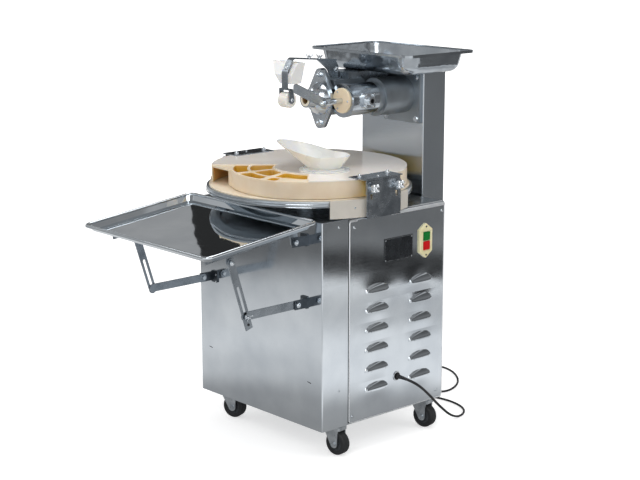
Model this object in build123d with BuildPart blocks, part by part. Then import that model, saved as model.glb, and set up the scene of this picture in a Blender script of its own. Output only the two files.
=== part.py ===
"""Dough divider and rounder: a feed head and knife above a turntable with a spiral rounding ring and a tray.

Millimetres, +Z up, the tray in front (-Y), the louvred panel on the right (+X), floor at z = 0.
"""

import os
from math import atan2, cos, degrees, hypot, pi, radians, sin, tan

from build123d import *

os.makedirs("parts", exist_ok=True)

# Fits
running_fit = 0.05
slide_gap = 0.3
button_gap = 0.6

# Cabinet
cabinet_width = 588
cabinet_front = 268
cabinet_back = 250
cabinet_bottom = 96
cabinet_top = 740
sheet = 2
shell_return = 105
shell_fold = 4
panel_thickness = 4
panel_margin = 2
panel_corner = 12
post_size = 25
base_thickness = 4
shelf_top = cabinet_top - 180
shelf_thickness = 6

# Louvres
louvre_length = 92
louvre_height = 22
louvre_rise = 9
louvre_slope = 57
louvre_round = 3
louvre_wall = 1.5
louvre_rows = 6
louvre_low_z = 187
louvre_high_z = cabinet_top - 240
louvre_columns = 189
louvre_centre_y = 50.5

# Plate, switch and gland on the right panel
plate_length = 123
plate_height = 73
plate_thickness = 1.5
plate_y = 45.5
plate_z = cabinet_top - 120.5
switch_y = 161
switch_z = cabinet_top - 113
bezel_width = 56
bezel_height = 112
bezel_side = 70
bezel_depth = 7
button_size = 26.8
button_spacing = 30
button_proud = 4
button_thickness = 9
button_travel = 4
button_stem = 4
switch_window = 40
block_depth = 36
gland_y = 44
gland_z = 210
gland_hole = 8
gland_radius = 12
gland_reach = 9

# Casters
caster_plate = 70
caster_plate_thickness = 4
caster_trail = 25
wheel_radius = 37.5
wheel_width = 30
wheel_hub_radius = 24
fork_gap = 34
fork_leg = 4
fork_crown = 11
fork_length = 66
fork_tip = 13
kingpin_radius = 6
kingpin_head = 8
axle_radius = 5
caster_headings = {"fr": 8, "fl": 20, "br": 10, "bl": 35}
caster_side_inset = 52
caster_back_inset = 50
caster_left_inset = 68
caster_right_inset = 86

# Turntable
disc_clearance = 4
disc_margin = 8
disc_step = 4
disc_bottom = cabinet_top + 37
disc_top = cabinet_top + 56
disc_plate = 10
disc_rim_width = 28
liner_margin = 8
liner_thickness = 4
spindle_radius = 15
spindle_bottom = shelf_top + 14
hub_radius = 40
bearing_flange_radius = 60
bearing_body_radius = 45
bearing_height = 28
bearing_flange = 8
gearbox_size = 120
gearbox_height = 100
motor_radius = 55
motor_length = 150

# Rounding ring
ring_radius = 306
ring_lift_gap = 1.5
ring_height = 51.5
ring_wall = 6
ring_roof = 6
cover_thickness = 3
mouth_start = 229
mouth_end = 250
mouth_step = 49
spiral_growth = 1
channel_width = 52
channel_inner_radius = 120
rib = 9
pocket_floor = 9
shallow_pocket = 12
pocket_left = 231
pocket_right = 317
pocket_ribs = (263, 290)
pocket_corner = 9
inner_rib_inset = 116
middle_rib_inset = 38
cover_lip = 8

# Scoop on the ring
scoop_angle = -19
scoop_flange_radius = 77
scoop_step_radius = 64
scoop_flange = 4
scoop_neck_radius = 51
scoop_wall = 3
scoop_rim_low = cabinet_top + 164
scoop_rim_high = cabinet_top + 202
scoop_lean = 23.5
scoop_long = 134
scoop_wide = 95
scoop_turn = 25.6

# Ring brackets, hangers, knobs and guards
bracket_gap = 2
bracket_plate = 3
bracket_length = 140
bracket_top = cabinet_top + 112
bracket_foot_x = 250
slot_spacing = 104
slot_width = 9
slot_bottom = cabinet_top + 56
slot_top = cabinet_top + 106
knob_z = cabinet_top + 92
knob_stud = 4
knob_shank = 9
knob_head = 16
knob_lobe = 6
hanger_plate = 3
hanger_length = 160
hanger_overlap = 41
hanger_bottom = cabinet_top + 72
guard_gap = 4
guard_wall = 5
guard_bottom = cabinet_top + 5
guard_top = cabinet_top + 59
guard_start = -31
guard_end = 24
guard_pad = 80

# Tray and its folding support
tray_length = 612
tray_width = 418
tray_depth = 22
tray_wall = 1.5
tray_flare = 14
tray_corner = 26
tray_rim_radius = 5
tray_pitch = 6.6
hinge_reach = 49
hinge_z = cabinet_top - 60
tray_rim_height = 71.2
tray_rear = 35
arm_x = 227
arm_plate = 4
arm_width = 25
rail_front = 330
rail_rear = 14
rail_bottom = 22
rail_flange = 20
strut_pivot = 243
strut_rise = 5
strut_slot_start = 82
strut_end = 6
strut_tail = 41
link_reach = 41
link_pivot_z = cabinet_top - 251
link_length = 197
pin_radius = 4
pin_head = 7
knee_pin = 3.5
knee_slot = 10
clip_height = 29
clip_end = 10
clip_ear = 30
clip_ear_height = 38

# Column and head
column_left = -104
column_right = 178
column_depth = 100
column_gap = 19
column_pad = 40
column_bottom = 300
head_z = cabinet_top + 318
knife_x = 88
pan_bottom_z = head_z + 79
pan_length = 456
pan_width = 300
pan_lip = 15
pan_slope = 17
pan_bend = 36
pan_centre_x = 64
pan_front = 87
pan_height = 63
pan_wall = 2
pan_rim_radius = 4
pan_corner = 28
floor_corner = 40
throat_half = 48
throat_front = 65
throat_back = 235
throat_mouth_front = 156
throat_wall = 4
saddle_z = head_z + 58
saddle_front = 8
barrel_radius = 56
barrel_front = -6
auger_radius = 26
auger_core = 10
auger_pitch = 48
flight_depth = 17
flight_thickness = 5
auger_gap = 0.5
ear_height = 75
ear_radius = 19
nozzle_radius = 55
nozzle_flange = 10
nozzle_dome = 30
nozzle_outlet = -74
snout_radius = 24
nozzle_liner_radius = 20
nozzle_bore = 12.5
nozzle_liner_length = 28
housing_radius = 50
housing_rim = 53
housing_rear_radius = 60
housing_front = 2
housing_rim_length = 12
housing_plate = 160
housing_plate_thickness = 10
housing_plate_z = head_z - 8
housing_step = 138
cap_radius = 39
cap_thickness = 6
knife_shaft = 9
knife_gap = 1.3
knife_thickness = 4
knife_length = 143
knife_width = 31
knife_hub = 15
knife_rise = 14
socket_size = 45
socket_y = 62
socket_reach = 147
socket_boss = 13
socket_boss_reach = 160
gear_width = 210
gear_depth = 78
gear_height = 110
gear_motor_radius = 38
gear_motor_length = 200

# Flour duster
arm_strip = 25
arm_thickness = 4
arm_bend = 12
arm_back = (48, head_z + 117)
arm_top = (-131, head_z + 133)
arm_knee = (-156, head_z + 91)
arm_foot = (-156, head_z + 40)
roller_y = -148
roller_z = head_z + 7
roller_radius = 24
roller_length = 38
roller_axle = 4
cheek = 4
cheek_end = 10
flour_top_left = -88
flour_top_right = 31
flour_bottom_left = -26
flour_bottom_right = 28
flour_top = head_z + 120
flour_bottom = head_z + 57
flour_back = -100
flour_wall = 2.5
web_thickness = 8
web_front = -24
web_top = head_z + 96
web_step = head_z + 88

# Power cord
cord_radius = 3.5
coil_radius = 38.5
coil_turns = 1.5
coil_sides = 16
coil_pitch = 7.4
coil_tail = 46
coil_x = -180
coil_y = 560
plug_width = 38
plug_length = 42
plug_pin = 2.4
plug_pin_length = 19
plug_pin_spacing = 19

# Route of the cord from the gland to the coil, in the cabinet's own frame
cord_route = [
    (298, 44, 210),
    (322, 44, 210),
    (340, 52, 205),
    (352, 66, 196),
    (355, 87, 181),
    (348, 116, 160),
    (333, 159, 128),
    (316, 204, 92),
    (304, 250, 56),
    (294, 294, 24),
    (288, 336, 5),
    (278, 376, 3.6),
    (250, 412, 3.6),
    (206, 434, 3.6),
    (156, 442, 3.6),
    (110, 438, 3.6),
    (72, 424, 3.6),
    (42, 400, 3.6),
    (20, 372, 3.6),
    (-12, 352, 3.6),
    (-50, 352, 3.6),
    (-76, 380, 3.6),
    (-72, 420, 3.6),
    (-40, 446, 3.6),
    (2, 456, 3.6),
    (48, 470, 3.6),
    (78, 508, 3.6),
    (64, 566, 3.6),
    (28, 622, 3.6),
    (-24, 668, 3.6),
    (-84, 700, 3.6),
    (-140, 706, 3.6),
    (-188, 692, 3.6),
    (-220, 656, 3.6),
    (-226, 612, 3.6),
    (-218.5, 582, 3.73),
    (-218.5, 560, 4.4),
]

# Places that follow from the sizes
pitch_cos = cos(radians(tray_pitch))
pitch_sin = sin(radians(tray_pitch))
rim_centre_height = tray_rim_height - tray_rim_radius
tray_front = tray_width - tray_rear
tray_reach = (
    cabinet_front
    + hinge_reach
    + (tray_front - tray_rim_radius) * pitch_cos
    + rim_centre_height * pitch_sin
    + tray_rim_radius
)
pan_reach = pan_front + pan_width
cabinet_y = (tray_reach - pan_reach) / 2
front_y = cabinet_y - cabinet_front
back_y = cabinet_y + cabinet_back
cabinet_depth = cabinet_front + cabinet_back
cabinet_mid_y = (front_y + back_y) / 2
side_x = cabinet_width / 2
inner_x = side_x - sheet
panel_face = inner_x + panel_thickness
panel_length = cabinet_depth - shell_return - panel_margin
panel_height = cabinet_top - sheet - cabinet_bottom - 2 * panel_margin
panel_mid_y = back_y - panel_length / 2
panel_mid_z = cabinet_bottom + panel_margin + panel_height / 2
frame_width = cabinet_width - 2 * sheet
frame_depth = cabinet_depth - 2 * sheet
louvre_pitch = (louvre_high_z - louvre_low_z) / (louvre_rows - 1)
louvre_centre_z = (louvre_low_z + louvre_high_z) / 2
caster_x = side_x - caster_side_inset
caster_spots = {
    "fr": (caster_x, caster_right_inset - cabinet_front),
    "fl": (-caster_x, caster_left_inset - cabinet_front),
    "br": (caster_x, cabinet_back - caster_back_inset),
    "bl": (-caster_x, cabinet_back - caster_back_inset),
}
liner_radius = ring_radius + liner_margin
disc_radius = liner_radius + disc_margin
guard_inner = disc_radius + guard_gap
bracket_x = guard_inner + guard_wall + bracket_gap
hanger_inner_x = ring_radius - hanger_overlap
mouth_radius = ring_radius - mouth_step
inner_rib_radius = ring_radius - inner_rib_inset
middle_rib_radius = ring_radius - middle_rib_inset
disc_y = back_y + column_gap - disc_clearance - disc_radius
liner_top = disc_top + liner_thickness
ring_bottom = liner_top + ring_lift_gap
ring_top = ring_bottom + ring_height
cover_top = ring_top + cover_thickness
scoop_x = channel_inner_radius * cos(radians(scoop_angle))
scoop_y = disc_y + channel_inner_radius * sin(radians(scoop_angle))
hinge_y = front_y - hinge_reach
tray_plane = Plane(origin=(0, hinge_y, hinge_z), x_dir=(1, 0, 0), z_dir=(0, -pitch_sin, pitch_cos))
tray_floor = tray_rim_height - tray_depth
tray_mid = (tray_front - tray_rear) / 2
strut_x = arm_x + slide_gap
strut_pivot_y = hinge_y - strut_pivot * pitch_cos - strut_rise * pitch_sin
strut_pivot_z = hinge_z - strut_pivot * pitch_sin + strut_rise * pitch_cos
link_y = front_y - link_reach
knee_y = link_y - link_length
strut_reach = hypot(knee_y - strut_pivot_y, link_pivot_z - strut_pivot_z)
strut_plane = Plane(
    origin=(strut_x, strut_pivot_y, strut_pivot_z),
    x_dir=(0, knee_y - strut_pivot_y, link_pivot_z - strut_pivot_z),
    z_dir=(1, 0, 0),
)
pin_end = strut_x + arm_plate
column_front = back_y + column_gap
barrel_back = column_front - cabinet_y
auger_bore = auger_radius + auger_gap
arm_slope = (arm_top[1] - arm_back[1]) / (arm_back[0] - arm_top[0])
nozzle_front = barrel_front - nozzle_flange
knife_back = nozzle_outlet - knife_gap
knife_front = knife_back - knife_thickness
pan_centre_y = pan_front + pan_width / 2
knob_reach = bracket_x + bracket_plate + knob_shank + knob_head
pan_rim_z = pan_bottom_z + pan_height


def polar(radius, angle):
    """Point on a turntable circle, the angle in degrees from +X."""
    return (radius * cos(radians(angle)), disc_y + radius * sin(radians(angle)))


def spiral(radius, start, end):
    """Points of a spiral that grows with the angle."""
    steps = max(3, round(abs(end - start) / 12))
    turns = [(end - start) * i / steps for i in range(steps + 1)]
    return [polar(radius + spiral_growth * turn, start + turn) for turn in turns]


def spiral_cell(start, end, inner, outer, level):
    """Face between two such spirals and two rays, on the plane at that level."""
    with BuildSketch(Plane.XY.offset(level)) as cell:
        with BuildLine():
            low = Spline(*spiral(inner, start, end))
            high = Spline(*spiral(outer, start, end))
            Line(low @ 0, high @ 0)
            Line(low @ 1, high @ 1)
        make_face()
        fillet(cell.vertices(), pocket_corner)
    return cell.sketch


def across(x, y):
    """Plane square to Y, seen from the front, at a head axis and a depth behind the cabinet centre."""
    return Plane(origin=(x, cabinet_y + y, head_z), x_dir=(1, 0, 0), z_dir=(0, -1, 0))


def under_arm(y):
    """Height of the duster arm's underside."""
    return arm_back[1] + (arm_back[0] - y) * arm_slope - arm_thickness / 2 * hypot(1, arm_slope) - 0.02


# Bottom plate of the cabinet
with BuildPart() as base_plate:
    with BuildSketch(Plane.XY.offset(cabinet_bottom)):
        with Locations((0, cabinet_mid_y)):
            Rectangle(frame_width, frame_depth)
    extrude(amount=base_thickness)
base_plate.part.label = "base_plate"
export_step(base_plate.part, "parts/base_plate.step")

# Frame inside the cabinet: corner posts and motor shelf
with BuildPart() as inner_frame:
    with BuildSketch(Plane.XY.offset(cabinet_bottom + base_thickness)):
        with Locations((0, cabinet_mid_y)):
            with GridLocations(frame_width - post_size, frame_depth - post_size, 2, 2):
                Rectangle(post_size, post_size)
    extrude(amount=cabinet_top - sheet - cabinet_bottom - base_thickness)
    with BuildSketch(Plane.XY.offset(shelf_top - shelf_thickness)):
        with Locations((0, cabinet_mid_y)):
            Rectangle(frame_width - post_size, frame_depth - post_size)
    extrude(amount=shelf_thickness)
inner_frame.part.label = "inner_frame"
export_step(inner_frame.part, "parts/inner_frame.step")

# Front shell with its returns
with BuildPart() as front_shell:
    with BuildSketch(Plane.XY.offset(cabinet_bottom)) as shell_plan:
        with Locations((0, front_y + shell_return / 2)):
            Rectangle(cabinet_width, shell_return)
        fillet(shell_plan.vertices().group_by(Axis.Y)[0], shell_fold)
        with Locations((0, front_y + sheet + shell_return / 2)):
            Rectangle(frame_width, shell_return, mode=Mode.SUBTRACT)
    extrude(amount=cabinet_top - sheet - cabinet_bottom)
front_shell.part.label = "front_shell"
export_step(front_shell.part, "parts/front_shell.step")

# One louvre: a pressed hood that leans out to its lip, open below, and the slit behind it
hood_plane = Plane(origin=(louvre_rise, 0, 0), z_dir=(louvre_height, 0, louvre_rise))
with BuildPart() as louvre_hood:
    with BuildSketch(Plane.YZ):
        SlotOverall(louvre_length, 2 * louvre_height)
    extrude(amount=louvre_rise, taper=louvre_slope)
    split(bisect_by=Plane.XY, keep=Keep.TOP)
    split(bisect_by=hood_plane, keep=Keep.BOTTOM)
    hood_faces = louvre_hood.faces().filter_by(Axis((0, 0, 0), hood_plane.z_dir))
    fillet(hood_faces.edges().filter_by_position(Axis.Z, 1, louvre_height - 1), louvre_round)
with BuildPart() as louvre_slit:
    with BuildSketch(Plane.YZ):
        SlotOverall(louvre_length - 6 * louvre_wall, 2 * louvre_height - 6 * louvre_wall)
    extrude(amount=louvre_rise - louvre_wall, taper=louvre_slope)
    with BuildSketch(Plane.YZ):
        SlotOverall(louvre_length - 6 * louvre_wall, 2 * louvre_height - 6 * louvre_wall)
    extrude(amount=-panel_thickness)
    split(bisect_by=Plane.XY, keep=Keep.TOP)
    split(bisect_by=hood_plane.offset(-louvre_wall), keep=Keep.BOTTOM)

# Side panels
panel_plane = Plane(origin=(inner_x, panel_mid_y, panel_mid_z), x_dir=(0, 1, 0), z_dir=(1, 0, 0))
louvre_mid_y = cabinet_y + louvre_centre_y
louvre_spots = [
    (panel_face, louvre_mid_y + side * louvre_columns / 2, louvre_centre_z + row * louvre_pitch)
    for side in (-1, 1)
    for row in [i - (louvre_rows - 1) / 2 for i in range(louvre_rows)]
]
with BuildPart() as right_panel:
    with BuildSketch(panel_plane):
        RectangleRounded(panel_length, panel_height, panel_corner)
    extrude(amount=panel_thickness)
    fillet(right_panel.faces().sort_by(Axis.X)[-1].edges(), 1.5)
    with Locations(*louvre_spots):
        add(louvre_hood.part)
    with Locations(*louvre_spots):
        add(louvre_slit.part, mode=Mode.SUBTRACT)
    with BuildSketch(Plane.YZ.offset(inner_x)):
        with Locations((cabinet_y + switch_y, switch_z)):
            Rectangle(switch_window, 2 * switch_window)
        with Locations((cabinet_y + gland_y, gland_z)):
            Circle(gland_hole)
    extrude(amount=panel_thickness, mode=Mode.SUBTRACT)
right_panel.part.label = "right_panel"
export_step(right_panel.part, "parts/right_panel.step")

with BuildPart() as left_panel:
    with BuildSketch(Plane(origin=(-inner_x, panel_mid_y, panel_mid_z), x_dir=(0, 1, 0), z_dir=(1, 0, 0))):
        RectangleRounded(panel_length, panel_height, panel_corner)
    extrude(amount=-panel_thickness)
    fillet(left_panel.faces().sort_by(Axis.X)[0].edges(), 1.5)
left_panel.part.label = "left_panel"
export_step(left_panel.part, "parts/left_panel.step")

# Back panel and top plate
with BuildPart() as back_panel:
    with BuildSketch(Plane.XY.offset(cabinet_bottom)):
        with Locations((0, back_y - sheet / 2)):
            Rectangle(frame_width, sheet)
    extrude(amount=cabinet_top - sheet - cabinet_bottom)
back_panel.part.label = "back_panel"
export_step(back_panel.part, "parts/back_panel.step")

with BuildPart() as top_plate:
    with BuildSketch(Plane.XY.offset(cabinet_top - sheet)):
        with Locations((0, cabinet_mid_y)):
            RectangleRounded(cabinet_width, cabinet_depth, shell_fold)
        with Locations((0, disc_y)):
            Circle(spindle_radius + 5, mode=Mode.SUBTRACT)
    extrude(amount=sheet)
top_plate.part.label = "top_plate"
export_step(top_plate.part, "parts/top_plate.step")

# Bare rating plate
with BuildPart() as rating_plate:
    with BuildSketch(Plane.YZ.offset(panel_face)):
        with Locations((cabinet_y + plate_y, plate_z)):
            RectangleRounded(plate_length, plate_height, 2)
    extrude(amount=plate_thickness)
rating_plate.part.label = "rating_plate"
export_step(rating_plate.part, "parts/rating_plate.step")

# Switch: bezel, buttons and the block behind the panel
bezel_outline = [
    (bezel_width / 2, bezel_side / 2),
    (0, bezel_height / 2),
    (-bezel_width / 2, bezel_side / 2),
    (-bezel_width / 2, -bezel_side / 2),
    (0, -bezel_height / 2),
    (bezel_width / 2, -bezel_side / 2),
]
switch_plane = Plane(origin=(panel_face, cabinet_y + switch_y, switch_z), x_dir=(0, 1, 0), z_dir=(1, 0, 0))
with BuildPart() as switch_bezel:
    with BuildSketch(switch_plane) as bezel_face:
        with BuildLine():
            Polyline(*bezel_outline, close=True)
        make_face()
        fillet(bezel_face.vertices(), 5)
    extrude(amount=bezel_depth)
    fillet(switch_bezel.faces().sort_by(Axis.X)[-1].edges(), 3)
    with BuildSketch(switch_plane):
        with GridLocations(0, button_spacing, 1, 2):
            Rectangle(button_size + 2 * button_gap, button_size + 2 * button_gap)
    extrude(amount=bezel_depth, mode=Mode.SUBTRACT)
switch_bezel.part.label = "switch_bezel"
export_step(switch_bezel.part, "parts/switch_bezel.step")

with BuildPart() as switch_block:
    with BuildSketch(switch_plane.offset(-panel_thickness)):
        Rectangle(switch_window + 16, 2 * switch_window + 8)
        with GridLocations(0, button_spacing, 1, 2):
            Circle(button_stem + slide_gap, mode=Mode.SUBTRACT)
    extrude(amount=-block_depth)
switch_block.part.label = "switch_block"
export_step(switch_block.part, "parts/switch_block.step")

for button_name, button_side in (("start_button", 1), ("stop_button", -1)):
    with BuildPart() as button:
        with BuildSketch(switch_plane.offset(bezel_depth + button_proud - button_thickness)):
            with Locations((0, button_side * button_spacing / 2)):
                RectangleRounded(button_size, button_size, 2)
        extrude(amount=button_thickness)
        fillet(button.faces().sort_by(Axis.X)[-1].edges(), 1.5)
        with BuildSketch(switch_plane.offset(bezel_depth + button_proud - button_thickness)):
            with Locations((0, button_side * button_spacing / 2)):
                Circle(button_stem)
        extrude(amount=-panel_thickness - block_depth / 2)
    button.part.label = button_name
    export_step(button.part, f"parts/{button_name}.step")

# Cable gland
gland_plane = Plane(origin=(panel_face, cabinet_y + gland_y, gland_z), x_dir=(0, 1, 0), z_dir=(1, 0, 0))
with BuildPart() as cord_gland:
    with BuildSketch(gland_plane):
        Circle(gland_radius)
    extrude(amount=gland_reach * 0.4)
    with BuildSketch(gland_plane):
        Circle(gland_radius * 0.7)
    extrude(amount=gland_reach)
    fillet(cord_gland.faces().sort_by(Axis.X)[-1].edges(), 2)
    with BuildSketch(gland_plane):
        Circle(gland_hole - running_fit)
    extrude(amount=-panel_thickness - 4)
    with BuildSketch(gland_plane.offset(-panel_thickness - 4)):
        Circle(cord_radius + running_fit)
    extrude(amount=panel_thickness + 4 + gland_reach, mode=Mode.SUBTRACT)
cord_gland.part.label = "cord_gland"
export_step(cord_gland.part, "parts/cord_gland.step")

# Power cord: straight runs joined by arcs
cord_points = [Vector(x, cabinet_y + y, z) for x, y, z in cord_route]
cord_runs = [b - a for a, b in zip(cord_points, cord_points[1:])]
cord_radii = []
for run, following in zip(cord_runs, cord_runs[1:]):
    half_turn = radians(run.get_angle(following)) / 2
    cord_radii.append(0.45 * min(run.length, following.length) / tan(half_turn))
print("cord bend radii", [round(radius) for radius in cord_radii])
with BuildPart() as power_cord:
    with BuildLine() as cord_path:
        FilletPolyline(*cord_points, radius=cord_radii)
    with BuildSketch(Plane(origin=cord_points[0], z_dir=cord_runs[0])):
        Circle(cord_radius)
    sweep(path=cord_path.line)
cord_length = sum(edge.length for edge in cord_path.edges())
print("cord length", round(cord_length), "volume", round(power_cord.part.volume))
print("section times length", round(pi * cord_radius**2 * cord_length))
power_cord.part.label = "power_cord"
export_step(power_cord.part, "parts/power_cord.step")

# Coil of the unseen length and its plug
coil_step = 360 / coil_sides
coil_count = round(coil_sides * coil_turns)
coil_corner = coil_radius / cos(radians(coil_step / 2))
coil_low = cord_route[-1][2]
coil_points = [cord_points[-1]]
for i in range(coil_count):
    turn = radians(180 + coil_step * (i + 0.5))
    rise = coil_pitch * (i + 0.5) / coil_sides
    corner_x = coil_x + coil_corner * cos(turn)
    corner_y = cabinet_y + coil_y + coil_corner * sin(turn)
    coil_points.append(Vector(corner_x, corner_y, coil_low + rise))
last_turn = radians(180 + coil_step * coil_count)
tail_x = coil_x + coil_radius * cos(last_turn) - coil_tail * sin(last_turn)
tail_y = cabinet_y + coil_y + coil_radius * sin(last_turn) + coil_tail * cos(last_turn)
tail_end = Vector(tail_x, tail_y, coil_low + coil_pitch * coil_turns)
coil_points.append(tail_end)
coil_bend = 0.98 * coil_radius
with BuildPart() as cord_coil:
    with BuildLine() as coil_path:
        FilletPolyline(*coil_points, radius=coil_bend)
    with BuildSketch(Plane(origin=coil_points[0], z_dir=coil_points[1] - coil_points[0])):
        Circle(cord_radius)
    sweep(path=coil_path.line)
cord_coil.part.label = "cord_coil"
export_step(cord_coil.part, "parts/cord_coil.step")

plug_plane = Plane(origin=tail_end, x_dir=(1, 0, 0), z_dir=tail_end - coil_points[-2])
plug_height = 2 * tail_end.Z - 0.6
with BuildPart() as power_plug:
    with BuildSketch(plug_plane):
        Circle(cord_radius + 2.5)
    with BuildSketch(plug_plane.offset(plug_length / 2)):
        RectangleRounded(plug_width, plug_height, plug_height * 0.3)
    loft()
    with BuildSketch(plug_plane.offset(plug_length / 2)):
        RectangleRounded(plug_width, plug_height, plug_height * 0.3)
    extrude(amount=plug_length / 2)
    with BuildSketch(plug_plane.offset(plug_length)):
        with GridLocations(plug_pin_spacing, 0, 2, 1):
            Circle(plug_pin)
    extrude(amount=plug_pin_length)
power_plug.part.label = "power_plug"
export_step(power_plug.part, "parts/power_plug.step")

# Caster plates with their kingpins
crown_top = cabinet_bottom - caster_plate_thickness - slide_gap
crown_bottom = crown_top - fork_crown
fork_shift = caster_trail / 2
with BuildPart() as caster_plates:
    with BuildSketch(Plane.XY.offset(cabinet_bottom - caster_plate_thickness)):
        with Locations((0, cabinet_y)):
            with Locations(*caster_spots.values()):
                RectangleRounded(caster_plate, caster_plate, 8)
    extrude(amount=caster_plate_thickness)
    with BuildSketch(Plane.XY.offset(crown_bottom - slide_gap - kingpin_head)):
        with Locations((0, cabinet_y)):
            with Locations(*caster_spots.values()):
                Circle(kingpin_radius)
    extrude(amount=cabinet_bottom - caster_plate_thickness - crown_bottom + slide_gap + kingpin_head)
    with BuildSketch(Plane.XY.offset(crown_bottom - slide_gap)):
        with Locations((0, cabinet_y)):
            with Locations(*caster_spots.values()):
                Circle(kingpin_radius + 2.5)
    extrude(amount=-kingpin_head)
caster_plates.part.label = "caster_plates"
export_step(caster_plates.part, "parts/caster_plates.step")

# Swivel forks and wheels
for corner, (spot_x, spot_y) in caster_spots.items():
    heading = radians(caster_headings[corner])
    along = (cos(heading), sin(heading), 0)
    pivot = (spot_x, cabinet_y + spot_y, 0)
    flat = Plane(origin=pivot, x_dir=along, z_dir=(0, 0, 1))
    upright = Plane(origin=pivot, x_dir=along, z_dir=(sin(heading), -cos(heading), 0))
    with BuildPart() as caster_fork:
        with BuildSketch(flat.offset(crown_bottom)):
            with Locations((fork_shift, 0)):
                RectangleRounded(fork_length, fork_gap + 2 * fork_leg, 6)
            Circle(kingpin_radius + running_fit, mode=Mode.SUBTRACT)
        extrude(amount=fork_crown)
        for leg_side in (-1, 1):
            with BuildSketch(upright.offset(leg_side * fork_gap / 2)):
                with Locations((caster_trail, wheel_radius)):
                    Circle(fork_tip)
                with Locations((fork_shift, crown_bottom + 2)):
                    Rectangle(fork_length - 12, 4)
                make_hull()
            extrude(amount=leg_side * fork_leg)
        with BuildSketch(upright.offset(-fork_gap / 2 - fork_leg - 3)):
            with Locations((caster_trail, wheel_radius)):
                Circle(axle_radius)
        extrude(amount=fork_gap + 2 * fork_leg + 6)
    caster_fork.part.label = f"caster_fork_{corner}"
    export_step(caster_fork.part, f"parts/caster_fork_{corner}.step")
    with BuildPart() as caster_wheel:
        with BuildSketch(upright.offset(-wheel_width / 2)):
            with Locations((caster_trail, wheel_radius)):
                Circle(wheel_radius)
        extrude(amount=wheel_width)
        fillet(caster_wheel.edges(), 6)
        for face_side in (-1, 1):
            with BuildSketch(upright.offset(face_side * wheel_width / 2)):
                with Locations((caster_trail, wheel_radius)):
                    Circle(wheel_hub_radius)
                    Circle(axle_radius + 5, mode=Mode.SUBTRACT)
            extrude(amount=-face_side * 4, mode=Mode.SUBTRACT)
        with BuildSketch(upright.offset(-wheel_width / 2)):
            with Locations((caster_trail, wheel_radius)):
                Circle(axle_radius + running_fit)
        extrude(amount=wheel_width, mode=Mode.SUBTRACT)
    caster_wheel.part.label = f"caster_wheel_{corner}"
    export_step(caster_wheel.part, f"parts/caster_wheel_{corner}.step")

# Turntable drive: gearmotor on the shelf, bearing on the top plate, spindle
motor_z = shelf_top + gearbox_height * 0.55
motor_plane = Plane(origin=(gearbox_size / 2, disc_y, motor_z), z_dir=(1, 0, 0))
with BuildPart() as turntable_gearmotor:
    with BuildSketch(Plane.XY.offset(shelf_top)):
        with Locations((0, disc_y)):
            RectangleRounded(gearbox_size, gearbox_size, 10)
    extrude(amount=gearbox_height)
    with BuildSketch(motor_plane):
        Circle(motor_radius * 0.75)
    extrude(amount=12)
    with BuildSketch(motor_plane.offset(12)):
        Circle(motor_radius - 2)
    extrude(amount=motor_length)
    with BuildSketch(Plane.XY.offset(spindle_bottom - 2)):
        with Locations((0, disc_y)):
            Circle(spindle_radius + running_fit)
    extrude(amount=shelf_top + gearbox_height - spindle_bottom + 2, mode=Mode.SUBTRACT)
turntable_gearmotor.part.label = "turntable_gearmotor"
export_step(turntable_gearmotor.part, "parts/turntable_gearmotor.step")

with BuildPart() as bearing_housing:
    with BuildSketch(Plane.XY.offset(cabinet_top)):
        with Locations((0, disc_y)):
            Circle(bearing_flange_radius)
    extrude(amount=bearing_flange)
    with BuildSketch(Plane.XY.offset(cabinet_top)):
        with Locations((0, disc_y)):
            Circle(bearing_body_radius)
    extrude(amount=bearing_height)
    with BuildSketch(Plane.XY.offset(cabinet_top)):
        with Locations((0, disc_y)):
            Circle(spindle_radius + running_fit)
    extrude(amount=bearing_height, mode=Mode.SUBTRACT)
bearing_housing.part.label = "bearing_housing"
export_step(bearing_housing.part, "parts/bearing_housing.step")

spindle_top = disc_top - 6
with BuildPart() as turntable_shaft:
    with BuildSketch(Plane.XY.offset(spindle_bottom)):
        with Locations((0, disc_y)):
            Circle(spindle_radius)
    extrude(amount=spindle_top - spindle_bottom)
turntable_shaft.part.label = "turntable_shaft"
export_step(turntable_shaft.part, "parts/turntable_shaft.step")

# Turntable disc with its stepped rim, and the liner on it
with BuildPart() as turntable_disc:
    with BuildSketch(Plane.XY.offset(disc_top - disc_plate)):
        with Locations((0, disc_y)):
            Circle(disc_radius)
    extrude(amount=disc_plate)
    fillet(turntable_disc.edges().group_by(Axis.Z)[-1], 1.5)
    with BuildSketch(Plane.XY.offset(disc_bottom)):
        with Locations((0, disc_y)):
            Circle(disc_radius - disc_step)
            Circle(disc_radius - disc_step - disc_rim_width, mode=Mode.SUBTRACT)
    extrude(amount=disc_top - disc_plate - disc_bottom)
    with BuildSketch(Plane.XY.offset(cabinet_top + bearing_height + 1)):
        with Locations((0, disc_y)):
            Circle(hub_radius)
    extrude(amount=disc_top - disc_plate - cabinet_top - bearing_height - 1)
    with BuildSketch(Plane.XY.offset(cabinet_top + bearing_height + 1)):
        with Locations((0, disc_y)):
            Circle(spindle_radius + running_fit)
    extrude(amount=spindle_top - cabinet_top - bearing_height - 1, mode=Mode.SUBTRACT)
turntable_disc.part.label = "turntable_disc"
export_step(turntable_disc.part, "parts/turntable_disc.step")

with BuildPart() as turntable_liner:
    with BuildSketch(Plane.XY.offset(disc_top)):
        with Locations((0, disc_y)):
            Circle(liner_radius)
    extrude(amount=liner_thickness)
    fillet(turntable_liner.edges().group_by(Axis.Z)[-1], 1.5)
turntable_liner.part.label = "turntable_liner"
export_step(turntable_liner.part, "parts/turntable_liner.step")

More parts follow.
